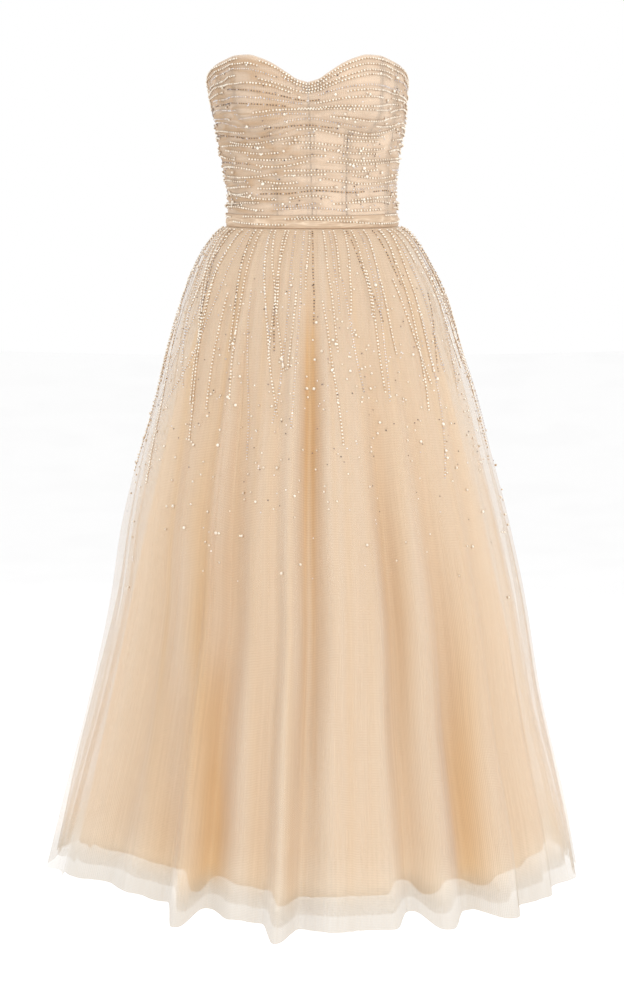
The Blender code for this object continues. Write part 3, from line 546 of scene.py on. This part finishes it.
# Acetate satin lining, peach nude: smooth and a little glossy. Its darker, warmer colour deep in
# the folds is painted shade.
satin = woven_material("acetate_satin", "#F7D7B0", "#DEA872", "fold", 5.027, 0.62, 30.0)
# Corset cloth, a firm woven cotton with dull threads.
coutil = woven_material("cotton_coutil", "#E6CDB2", "#7E5E45", "seam", 4.398, 0.75, 60.0)
# The band's darker colour is painted shade, between its creases and above the waist seam.
band_net = woven_material("folded_net_band", "#E9D3BA", "#B09072", "fold", 5.655, 0.92, 90.0)
tape_twill = woven_material("polyester_zip_tape", "#E3C8A8", "#C9A985", "fold", 4.398, 0.75,
                            80.0)
# Nacre-coated beads: cream with a soft wet gloss, browner low down where the net shades them.
nacre = hard_material("nacre_pearl", "#FFF8EA", "#A88257", {
    "Roughness": 0.28, "Coat Weight": 0.5, "Coat Roughness": 0.15}, 160.0, 0.85)
# Cut glass with a foil back: bright silver with a blue and violet cast.
clear_stone = hard_material("foiled_glass", "#FFFFFF", "#9A96A4", {
    "Roughness": 0.10, "Metallic": 0.15, "Coat Weight": 0.6}, 240.0, 0.6)
smoke_stone = hard_material("smoked_glass", "#8A7A78", "#241E22", {
    "Roughness": 0.12, "Metallic": 0.2, "Coat Weight": 0.3}, 240.0, 0.8)
# Polyester sewing thread, tan, in close twisted strands. Its tan, darker than the net, also stands
# in for the shade between the beads: painted shade.
thread = hard_material("polyester_thread_and_gap_shade", "#C9A67C", "#8A6844", {"Roughness": 0.7}, 700.0, 0.0)
# Zinc slider with a thin champagne lacquer, and a coil of nylon.
zip_metal = hard_material("lacquered_zinc", "#E0C9A4", "#B79A70", {
    "Metallic": 0.9, "Roughness": 0.30}, 500.0, 0.0)
nylon_coil = hard_material("nylon_coil", "#E6D0B2", "#CDB08A", {"Roughness": 0.45}, 400.0, 0.0)


# ---- corset
def corset_panel(name, side, low, high):
    """One corset panel between two lines, each given as angles and heights from front to back.

    A point goes straight from the low line to the high one. Along the panel's side edges the cloth
    dips by 0.6 mm into the seam. `seam` is 1 in the seam, and less on the bone channel beside it
    and along the sewn line of that channel.
    """
    up = np.linspace(0, 1, 44)[:, None]
    angle = low[0] * (1 - up) + high[0] * up
    height = low[1] * (1 - up) + high[1] * up
    if side < 0:
        angle = -angle[:, ::-1]
        height = height[:, ::-1]
    flat = body_surface(angle, height)
    across = run_lengths(flat)
    edge = np.minimum(across, across[:, -1:] - across)
    dip = 0.0006 * np.exp(-(edge / 0.0016) ** 2)
    points = flat - body_normal(angle, height) * (CLOTH_INSET + dip)[..., None]
    stitched = np.exp(-((edge - 0.0060) / 0.0009) ** 2)
    channel = 0.10 * ease((0.0075 - edge) / 0.0015)
    seam = np.clip(0.8 * np.exp(-(edge / 0.0010) ** 2) + 0.55 * stitched + channel, 0, 1)
    uv = np.stack([across, height], -1)
    piece = cloth_piece("corset_" + name, points, uv, coutil, {"seam": seam},
                        BODICE_WALL - 2 * CLOTH_INSET)
    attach(piece, "dress")
    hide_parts(name)


def build_corset():
    """Twelve panels: on each side a centre front, a side front, two cup pieces, a side, a back."""
    half_gap = np.degrees(SEAM_GAP / 2 / BODY_RADIUS)
    between = lambda start, end, count: np.linspace(start + half_gap, end - half_gap, count)
    low = lambda angle: 0 * angle + BAND_HEIGHT + SEAM_GAP
    wire = lambda angle: read(WIRE_SEAM, "angle", "height", angle)
    under = lambda angle: wire(angle) - SEAM_GAP
    neck = lambda angle: read(NECKLINE, "angle", "height", angle)
    inner_end = CUP_START - 0.3
    centre_neck = np.linspace(half_gap, inner_end, 7)
    centre_wire = np.linspace(CUP_START, PRINCESS_SEAM - half_gap, 24)
    drop = np.linspace(neck(inner_end), wire(CUP_START), 5)[1:-1]
    centre_top = (np.concatenate([centre_neck, np.full(3, inner_end), centre_wire]),
                  np.concatenate([neck(centre_neck), drop, under(centre_wire)]))
    centre_low = np.interp(np.linspace(0, 1, 34), np.linspace(0, 1, 7),
                           [half_gap, 4.0, 7.0, 11.0, 15.0, 19.5, PRINCESS_SEAM - half_gap])
    front = between(PRINCESS_SEAM, SIDE_FRONT_SEAM, 34)
    inner_low = np.linspace(CUP_START, CUP_SEAM_LOW - half_gap, 36)
    inner_high = np.linspace(CUP_START, CUP_SEAM_HIGH - half_gap, 36)
    outer_low = between(CUP_SEAM_LOW, SIDE_FRONT_SEAM, 24)
    outer_high = between(CUP_SEAM_HIGH, SIDE_FRONT_SEAM, 24)
    sides = between(SIDE_FRONT_SEAM, SIDE_BACK_SEAM, 36)
    backs = between(SIDE_BACK_SEAM, CENTRE_BACK, 44)
    panels = {
        "front_centre_": ((centre_low, low(centre_low)), centre_top),
        "front_side_": ((front, low(front)), (front, under(front))),
        "cup_inner_": ((inner_low, wire(inner_low)), (inner_high, neck(inner_high))),
        "cup_outer_": ((outer_low, wire(outer_low)), (outer_high, neck(outer_high))),
        "side_": ((sides, low(sides)), (sides, neck(sides))),
        "back_": ((backs, low(backs)), (backs, neck(backs))),
    }
    for side, word in ((-1, "left"), (1, "right")):
        for name, lines in panels.items():
            corset_panel(name + word, side, *lines)


def build_ruched_net():
    """Ruched net over the whole bodice, turned over the neckline to the inside edge.

    `ruche` grows with the ruches, where the net is denser and drawn darker as painted shade. It is
    less on the wearer's left, where the key light falls, and more on the right: painted light and
    shade.
    """
    angle, share = np.meshgrid(np.linspace(-BACK_EDGE, BACK_EDGE, 421), np.linspace(0, 1, 141))
    outside = ruched_surface(angle, share)
    edge_angle = angle[-1]
    top = ruche_level(edge_angle, np.ones_like(edge_angle))
    turn = np.radians(np.linspace(25.0, 180.0, 6))[:, None]
    radius = BODICE_WALL / 2 + NET_STAND
    normal = body_normal(edge_angle, top)
    centre = body_surface(edge_angle, top) - normal * (BODICE_WALL / 2)
    over = centre + normal * (radius * np.cos(turn))[..., None]
    over = over + np.array([0.0, 0.0, 1.0]) * (radius * np.sin(turn))[..., None]
    inside = over[-1:] - np.array([0.0, 0.0, 0.004])
    points = np.concatenate([outside, over, inside])
    # Painted light and shade: lighter on the wearer's left, where the key light falls, darker on
    # the right, fading towards the back.
    painted_side_light = 0.30 * ease((angle + 20.0) / 60.0) - 0.14 * ease((-12.0 - angle) / 30.0)
    painted_side_light = painted_side_light * ease((150.0 - np.abs(angle)) / 60.0)
    gathers_and_shade = np.clip(0.20 + ruche_height(angle, share) / 0.0028 - painted_side_light, 0, 1)
    marks = np.concatenate([gathers_and_shade, np.full((7, angle.shape[1]), 0.35)])
    across = np.radians(np.vstack([angle, np.repeat(angle[-1:], 7, axis=0)])) * BODY_RADIUS
    uv = np.stack([across, points[..., 2]], -1)
    piece = cloth_piece("ruched_net", points, uv, ruched_net, {"ruche": marks})
    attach(piece, "dress")


def build_waist_band():
    """A folded band round the waist seam: two low rolls of net with fine creases along them.

    `fold` is painted shade: less on a crease's ridge, more between the ridges, and more again in a
    painted shadow above the waist seam.
    """
    angle, share = np.meshgrid(np.linspace(-BACK_EDGE, BACK_EDGE, 481), np.linspace(0, 1, 25))
    middle = np.sin(math.pi * share)
    wander = share + 0.10 * uneven(angle / 20.0, 0.5 + 0 * share, 18, 51) * middle
    height = SEAM_GAP / 2 + share * (BAND_HEIGHT - SEAM_GAP / 2)
    plain = 1 - 0.8 * ease((np.abs(angle) - 172.0) / 6.0)
    crease = (1 - np.abs(uneven(angle / 12.0, wander * 6.0, 30, 53))) ** 4
    fine = (1 - np.abs(uneven(angle / 7.5, wander * 13.0, 48, 57))) ** 4
    ridges = (CREASE_DEPTH * crease + FINE_CREASE_DEPTH * fine) * middle
    out = (read(BAND_ROLLS, "share", "out", wander) + ridges) * plain
    points = body_surface(angle, height) + body_normal(angle, height) * out[..., None]
    # Painted shadow above the waist seam, and painted shade between the creases.
    shadow = 0.15 * ease((0.06 - share) / 0.06)
    fold = np.clip(0.62 - ridges / (CREASE_DEPTH + FINE_CREASE_DEPTH) + shadow, 0, 1)
    uv = np.stack([np.radians(angle) * WAIST_RADIUS, height], -1)
    piece = cloth_piece("waist_band_folds", points, uv, band_net, {"fold": fold}, BAND_THICKNESS)
    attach(piece, "dress")
    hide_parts("waist_band")


# ---- skirt
def layer_and_shade_zones(angle, share, drop):
    """How much painted shade, and in a net how much denser cloth, each point gets: a bell across
    each zone of the table, whose middle sways a little from side to side and which fades in down
    the skirt."""
    layers_and_shade = np.zeros_like(angle)
    for zone in LAYER_AND_SHADE_ZONES:
        middle = zone["waist_angle"] * (1 - share) + zone["hem_angle"] * share
        away = (angle - middle + 180.0) % 360.0 - 180.0
        away = away + 0.12 * zone["half_width"] * np.sin(share * 6.0 + middle)
        grown = ease((drop - zone["start"]) / (zone["full"] - zone["start"]))
        zone_layers_and_shade = zone["waist_warmth"] * (1 - share) + zone["hem_warmth"] * share
        layers_and_shade = layers_and_shade + zone_layers_and_shade * grown * bell(away / zone["half_width"] / 1.4)
    return layers_and_shade


def build_skirt_layer(layer, name, node, material, columns, rows, cut, thickness=None):
    """One layer of the skirt, all round, from its raw hem up to the waist seam.

    Rows lie closer together near the waist. `fold` is how far a point lies inside the mean of
    its neighbourhood, 1 deep in a fold, with the zone table's value added; the colour is drawn
    darker and warmer there as painted shade, paler on the crests, and a net is also denser there
    for its layers. `hem` goes from 0 above the lining's hem to 1 just below it. The mark for the
    sides is 1 at the two sides, where the net hangs open, and at the inner net's uneven hem. Below
    the lining and at these sides, a net is greyed as painted shade.
    """
    length = SKIRT_LAYERS[layer][2]
    drops = length * (1 - np.linspace(0, 1, rows)) ** 1.5
    place, drop = np.meshgrid(np.arange(columns) * FOLDS / columns, drops)
    points = skirt_surface(layer, place, drop)
    radius = np.hypot(points[..., 0], points[..., 1])
    span = max(columns // 30, 2)
    around = np.concatenate([radius[:, -span:], radius, radius[:, :span]], axis=1)
    total = np.cumsum(np.hstack([np.zeros((rows, 1)), around]), axis=1)
    mean = (total[:, 2 * span + 1:] - total[:, :-2 * span - 1]) / (2 * span + 1)
    depth = (mean - radius) / (0.0026 + 0.016 * drop / length)
    angle = np.degrees(np.arctan2(points[..., 0], -points[..., 1]))
    zoned_layers_and_shade = layer_and_shade_zones(angle, drop / length, drop)
    # Painted shade: darker and warmer deep in the folds and in each zone, paler on the crests; a
    # net is also denser there for its layers.
    fold = np.clip(0.20 + 0.16 * np.maximum(depth, -0.8) + zoned_layers_and_shade, 0, 1)
    share = np.linspace(0, 1, columns + 1)[None, :]
    uv = np.stack(np.broadcast_arrays(share * cut[0], drops[:, None]), -1)
    hem = np.clip((drop - LINING_LENGTH + 0.110) / 0.130, 0, 1)
    sheer_and_shade = bell((np.abs(angle) - 92.0) / 34.0) * ease(drop / 0.05)
    if layer == "inner":
        sheer_and_shade = np.maximum(sheer_and_shade, ease((drop - length + 0.030) / 0.026))
    marks = {"fold": fold, "hem": hem, "sheer_and_shade": sheer_and_shade}
    piece = cloth_piece(name, points, uv, material, marks, thickness)
    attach(piece, "dress")
    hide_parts(node)


# ---- beads
# The six corners round a bead's middle, and its six sides, each from a corner to the next.
TURN = np.radians(np.arange(6) * 60.0)
GIRDLE = np.stack([np.cos(TURN), np.sin(TURN), 0 * TURN], -1)
SIDES = [(k, (k + 1) % 6) for k in range(6)]


def round_bead():
    """Unit sphere of six sides and four bands, as points and faces."""
    rings = [GIRDLE * np.cos(t) + [0, 0, np.sin(t)] for t in np.radians([-42.0, 0.0, 42.0])]
    points = np.concatenate(rings + [[[0, 0, -1], [0, 0, 1]]])
    faces = [[18, b, a] for a, b in SIDES] + [[19, 12 + a, 12 + b] for a, b in SIDES]
    faces += [[r + a, r + b, r + 6 + b, r + 6 + a] for r in (0, 6) for a, b in SIDES]
    return points, faces


def cut_stone():
    """Unit cut stone of six sides: a flat table, sloping crown faces and a pointed back."""
    table = GIRDLE * [0.55, 0.55, 1] + [0, 0, 0.55]
    points = np.concatenate([GIRDLE, table, [[0, 0, -0.7]]])
    faces = [[6, 7, 8, 9, 10, 11]] + [[a, b, 6 + b, 6 + a] for a, b in SIDES]
    return points, faces + [[12, b, a] for a, b in SIDES]


def sew_on(name, beads, shape, material, smooth):
    """One piece of many copies of a bead, each turned so that its own Z lies along the normal.

    `shade` is 0 on top of a round bead and 1 under it; a cut stone has one value all over.
    """
    places, normals, sizes = (np.concatenate(rows) for rows in zip(*beads))
    shape_points, shape_faces = shape
    helper = np.where(np.abs(normals[:, 2:]) > 0.8, [[1.0, 0.0, 0.0]], [[0.0, 0.0, 1.0]])
    first = np.cross(helper, normals)
    first /= np.linalg.norm(first, axis=1, keepdims=True)
    basis = np.stack([first, np.cross(normals, first), normals], 1)
    points = np.einsum("vk,nkx->nvx", shape_points, basis) * (sizes / 2)[:, None, None]
    points += places[:, None, :]
    starts = (np.arange(len(places)) * len(shape_points)).tolist()
    faces = [[corner + start for corner in face] for start in starts for face in shape_faces]
    piece = add_piece(name, points, faces, material, smooth)
    under = 0.5 - 0.6 * shape_points[:, 2] * smooth
    chance = np.random.default_rng(77).uniform(-0.5, 0.5, len(places)) * (0.3 if smooth else 1.0)
    mark_points(piece, {"shade": np.clip(under + chance[:, None], 0, 1)})
    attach(piece, "dress")
    return piece


def sew_threads(name, runs):
    """The thread under every string of beads, as a flat ribbon along its run. It is drawn wide and
    tan so that it also stands in for the shade between the beads: painted shade.

    Each run is a row of places and a row of normals, all with the same number of points.
    """
    places, normals = (np.array(rows) for rows in zip(*runs))
    side = np.cross(np.gradient(places, axis=1), normals)
    side *= THREAD_WIDTH / 2 / np.linalg.norm(side, axis=-1, keepdims=True)
    middle = places + normals * 0.0005
    points = np.stack([middle - side, middle + side], 1)
    index = np.arange(points.size // 3).reshape(points.shape[:3])
    piece = add_piece(name, points, [face for run in index for face in quads(run)], thread)
    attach(piece, "dress")
    return piece


# Size, pitch, how far a bead's middle stands off the cloth as a share of its size, and material.
KINDS = {
    "pearl": (PEARL, PEARL_PITCH, 0.45, nacre),
    "big": (BIG_PEARL, PEARL_PITCH, 0.45, nacre),
    "clear": (STONE, STONE_PITCH, 0.3, clear_stone),
    "smoke": (STONE, STONE_PITCH * 1.1, 0.3, smoke_stone),
}
thread_runs = []


def add_beads(beads, kind, places, normals):
    """Adds a batch of beads of one kind: their middles, the cloth's normals there, their sizes."""
    size, _, lift, _ = KINDS[kind]
    chance = np.random.default_rng(len(beads[kind]) + 900)
    sizes = size * chance.uniform(0.88, 1.1, len(places))
    beads[kind].append((places + normals * (sizes * lift)[:, None], normals, sizes))


def sew_string(beads, kind, surface, face, u, v, seed, slack=1.0):
    """A string of beads along a path on a surface, with its thread below it.

    The beads lie at an even pitch, each a little astray. Every fifth stone of a smoky string is
    a clear one.
    """
    pitch = KINDS[kind][1] * slack
    length = run_lengths(surface(u, v)[None])[0]
    count = max(int(length[-1] / pitch), 2)
    stray = np.random.default_rng(seed).uniform(-0.07, 0.07, count)
    at = np.clip(np.arange(count) * pitch + stray * pitch, 0, length[-1])
    way = [np.interp(at, length, u), np.interp(at, length, v)]
    places = surface(*way)
    normals = face(*way)
    clear = (np.arange(count) % 5 == 3) & (kind == "smoke")
    add_beads(beads, kind, places[~clear], normals[~clear])
    add_beads(beads, "clear", places[clear], normals[clear])
    run = np.linspace(0, count - 1, 48)
    way = [np.interp(run, np.arange(count), course) for course in way]
    thread_runs.append((surface(*way), face(*way)))


def bodice_beads(beads):
    """Strings along the ruches, with gaps between them, and loose beads between the strings.

    Each row of strings keeps to one ruche line and dips or rises a little along it.
    """
    rng = np.random.default_rng(1207)
    face = lambda angle, share: surface_normal(ruched_flat, angle, share, 0.2, 0.004)
    shares = np.concatenate([np.linspace(0.035, 0.92, 24), [0.95, 0.98]])
    for share in shares:
        start = -177.0 + rng.uniform(0, 25)
        while start < 170.0:
            trim = share > 0.94
            span = rng.uniform(80.0, 150.0) if trim else rng.uniform(26.0, 84.0)
            stop = min(start + span, 177.0)
            kind = "pearl" if trim else rng.choice(["pearl", "clear", "smoke"], p=[.72, .19, .09])
            u = np.linspace(start, stop, 120)
            t = (u - start) / (stop - start)
            bend = rng.uniform(-0.018, 0.018) * (not trim)
            slope = rng.uniform(-0.020, 0.020) * (not trim)
            v = share + bend * np.sin(math.pi * t) + slope * (t - 0.5)
            v = v + 0.004 * np.sin(u * rng.uniform(0.08, 0.16) + rng.uniform(0, 6)) * (not trim)
            v = np.clip(v, 0.02, 0.985)
            sew_string(beads, kind, ruched_surface, face, u, v, rng.integers(1 << 30))
            start = stop + rng.uniform(3.0, 16.0)
    for kind, count in (("big", 120), ("pearl", 160), ("clear", 220), ("smoke", 110)):
        angle = rng.uniform(-176.0, 176.0, count)
        level = rng.uniform(0.04, 0.95, count) ** 1.15
        add_beads(beads, kind, ruched_surface(angle, level), face(angle, level))


def ruched_flat(angle, share):
    """The ruched net's place without its ruches, for even normals."""
    return body_surface(angle, ruche_level(angle, share))


def band_beads(beads):
    """Strings that wander along the folded band, one after another."""
    surface = lambda angle, height: (body_surface(angle, height)
                                     + body_normal(angle, height) * CREASE_DEPTH)
    for start, stop, level, sway, seed in (
            (-176, -66, 0.60, 0.16, 5), (-64, -14, 0.42, 0.14, 6), (-18, 88, 0.52, 0.24, 2),
            (92, 176, 0.55, 0.20, 8), (-52, -26, 0.84, 0.06, 9), (-10, 30, 0.90, 0.05, 10),
            (58, 84, 0.88, 0.05, 11), (-120, -84, 0.88, 0.05, 12), (112, 150, 0.90, 0.04, 13)):
        angle = np.linspace(start, stop, 200)
        height = BAND_HEIGHT * (level + sway * np.sin(np.radians(angle * 2.6) + seed))
        sew_string(beads, "pearl", surface, body_normal, angle, height, seed)


def skirt_beads(beads):
    """Strings that run down the folds from the waist, and loose beads that thin out below them."""
    rng = np.random.default_rng(2011)
    surface = lambda place, drop: skirt_surface("outer", place, drop)
    face = lambda place, drop: surface_normal(surface, place, drop, 0.03, -0.002)
    lines = SKIRT_FOLDS["hem_angle"] + SKIRT_FOLDS["drift"]
    round_lines = np.concatenate([lines, [lines[0] + 360.0]])
    strings = 126
    for number in range(strings):
        angle = -88.0 + (number + rng.uniform(-0.55, 0.55)) * 360.0 / strings
        place = np.interp(angle, round_lines, np.arange(FOLDS + 1))
        kind = ("pearl", "clear", "pearl", "smoke", "pearl", "pearl", "clear")[number % 7]
        top = 0.004 if number % 4 else rng.uniform(0.05, 0.12)
        low = top + rng.choice([0.07, 0.13, 0.18, 0.25], p=[0.12, 0.24, 0.32, 0.32])
        low += rng.uniform(-0.02, 0.03)
        low = min(low, top + 0.13) if kind == "smoke" else low
        drop = np.linspace(top, low, 120)
        run = drop - top
        way = place + rng.uniform(-8.0, 8.0) * run + rng.uniform(-20, 20) * run ** 2
        way = way + 0.06 * np.sin(drop * rng.uniform(8, 16) + rng.uniform(0, 6))
        sew_string(beads, kind, surface, face, way, drop, rng.integers(1 << 30), 1.05)
    for kind, count, reach in (("pearl", 430, 0.48), ("big", 150, 0.52), ("clear", 260, 0.50),
                               ("smoke", 190, 0.46)):
        place = rng.uniform(0, FOLDS, count)
        drop = 0.04 + reach * rng.beta(1.9, 2.6, count)
        add_beads(beads, kind, surface(place, drop), face(place, drop))


# ---- zip
def build_zip():
    """Twill tape behind the centre back with a nylon coil down its inner face.

    The solid's points lie in level rows. Of each row the middle point gives the tape's course, and
    the side points give how far the sides bend in. The coil is a flattened spiral: across by a
    cosine, in and out by a sine, up by the pitch.
    """
    solid = np.array([point.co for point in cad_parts["zip_tape"].data.vertices])
    solid = solid[np.argsort(solid[:, 2])]
    rows = np.split(solid, np.nonzero(np.diff(solid[:, 2]) > 0.002)[0] + 1)
    levels = np.array([row[:, 2].mean() for row in rows])
    middles = np.array([(row[:, 0].min() + row[:, 0].max()) / 2 for row in rows])
    half = ZIP_TAPE_WIDTH / 2

    def course(column, height):
        """The outer face at a column, a distance across from the middle."""
        outer = [row[np.abs(row[:, 0] - middle - column) < half / 4, 1].max()
                 for row, middle in zip(rows, middles)]
        return np.interp(height, levels, outer)

    heights = np.linspace(levels[0], levels[-1], 90)
    share, height = np.meshgrid(np.linspace(-1, 1, 17), heights)
    centre = np.interp(height, levels, middles)
    bend = (course(-half, height) + course(half, height)) / 2 - course(0.0, height)
    depth = course(0.0, height) + bend * share ** 2 - 0.0001
    points = np.stack([centre - share * half, depth, height], -1)
    selvedge = ease((np.abs(share) - 0.88) / 0.10) + bell(share / 0.06)
    uv = np.stack([(share + 1) * half, height], -1)
    tape = cloth_piece("zip_tape_twill", points, uv, tape_twill, {"fold": selvedge},
                       TAPE_THICKNESS)
    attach(tape, "dress")
    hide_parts("zip_tape")

    turn = np.arange(0.0, 2 * math.pi * (ZIP_HIGH - ZIP_LOW) / COIL_PITCH, math.pi / 4)[:, None]
    ring = np.radians(np.arange(5) * 72.0)
    height = ZIP_LOW + COIL_PITCH * turn / (2 * math.pi)
    across = COIL_HALF_WIDTH * np.cos(turn)
    inward = COIL_HALF_DEPTH * np.sin(turn)
    grown = 1 + COIL_WIRE * np.cos(ring) / np.hypot(across, inward)
    x = np.interp(height, levels, middles) + across * grown
    y = course(0.0, height) - COIL_INSET + inward * grown
    z = height + COIL_WIRE * np.sin(ring)
    index = np.arange(x.size).reshape(x.shape)
    coil = add_piece("zip_coil", np.stack([x, y, z], -1),
                     quads(np.hstack([index, index[:, :1]])), nylon_coil)
    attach(coil, "dress")
    for name in ("zip_slider", "zip_pull"):
        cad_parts[name].data.materials.clear()
        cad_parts[name].data.materials.append(zip_metal)


# ---- the dress
build_corset()
build_ruched_net()
build_waist_band()
build_skirt_layer("outer", "skirt_outer_net", "skirt_tulle_outer", outer_net,
                  768, 108, (2.90, 1.00))
build_skirt_layer("inner", "skirt_inner_net", "skirt_tulle_inner", inner_net,
                  576, 80, (2.70, 0.98))
build_skirt_layer("lining", "skirt_satin_lining", "skirt_lining", satin,
                  384, 52, (2.40, 0.96), 0.0006)
bodice = {kind: [] for kind in KINDS}
bodice_beads(bodice)
band_beads(bodice)
skirt = {kind: [] for kind in KINDS}
skirt_beads(skirt)
for place, beads, slot in (("bodice", bodice, "bodice_cloth"), ("skirt", skirt, "outer_tulle")):
    for kind, (_, _, _, material) in KINDS.items():
        smooth = material is nacre
        shape = round_bead() if smooth else cut_stone()
        sewn = sew_on(f"{place}_{kind}_beads", beads[kind], shape, material, smooth)
sew_threads("sewing_thread_and_gap_shade", thread_runs)
build_zip()

# ---- floor, light and camera
# A wide floor that curves up all round, well outside every camera.
FLOOR_DROP = 1.45
floor_x, floor_y = np.meshgrid(np.linspace(-9.0, 9.0, 61), np.linspace(-9.0, 9.0, 61))
floor_z = 0.9 * ease((np.hypot(floor_x, floor_y) - 5.8) / 6.4) - FLOOR_DROP
paper = hard_material("white_paper", "#FBFBFB", "#F6F6F6", {"Roughness": 0.9}, 4.0, 0.0)
add_piece("studio_floor", np.stack([floor_x, floor_y, floor_z], -1),
                   quads(np.arange(61 * 61).reshape(61, 61)), paper)


def area_light(name, place, aim, size, power):
    """A rectangular soft box at a place, facing the aim."""
    light = bpy.data.lights.new(name, "AREA")
    light.shape = "RECTANGLE"
    light.size, light.size_y = size
    light.energy = power
    lamp = bpy.data.objects.new(name, light)
    way = np.array(place) - np.array(aim)
    lamp.location = place
    lamp.rotation_euler = (math.acos(way[2] / np.linalg.norm(way)), 0.0,
                           math.atan2(way[1], way[0]) + math.pi / 2)
    bpy.context.scene.collection.objects.link(lamp)


area_light("key_light", (2.2, -3.6, 2.2), (0.0, 0.0, -0.3), (1.8, 1.8), 62.0)
area_light("fill_light", (-3.0, -3.2, 1.0), (0.0, 0.0, -0.4), (2.6, 2.6), 18.0)
area_light("back_light", (0.0, 3.2, 2.6), (0.0, 0.0, 0.0), (2.4, 1.6), 45.0)

world = bpy.data.worlds.new("studio")
world.use_nodes = True
feed(world.node_tree.nodes["Background"], {"Color": (1.0, 1.0, 1.0, 1.0), "Strength": 1.0})
scene = bpy.context.scene
scene.world = world
scene.view_settings.view_transform = "Standard"
scene.cycles.transparent_max_bounces = 40

# The photo's view: 3291 pixels of focal length, tilted down by 442 of them, from 4.8 m away.
camera_data = bpy.data.cameras.new("camera")
camera_data.sensor_fit = "VERTICAL"
camera_data.sensor_height = 36.0
camera_data.lens = 118.48
camera = bpy.data.objects.new("camera", camera_data)
camera.location = (0.0, -4.8, 0.242)
camera.rotation_euler = (math.pi / 2 - math.atan2(442.0, 3291.0), 0.0, 0.0)
scene.collection.objects.link(camera)
scene.camera = camera
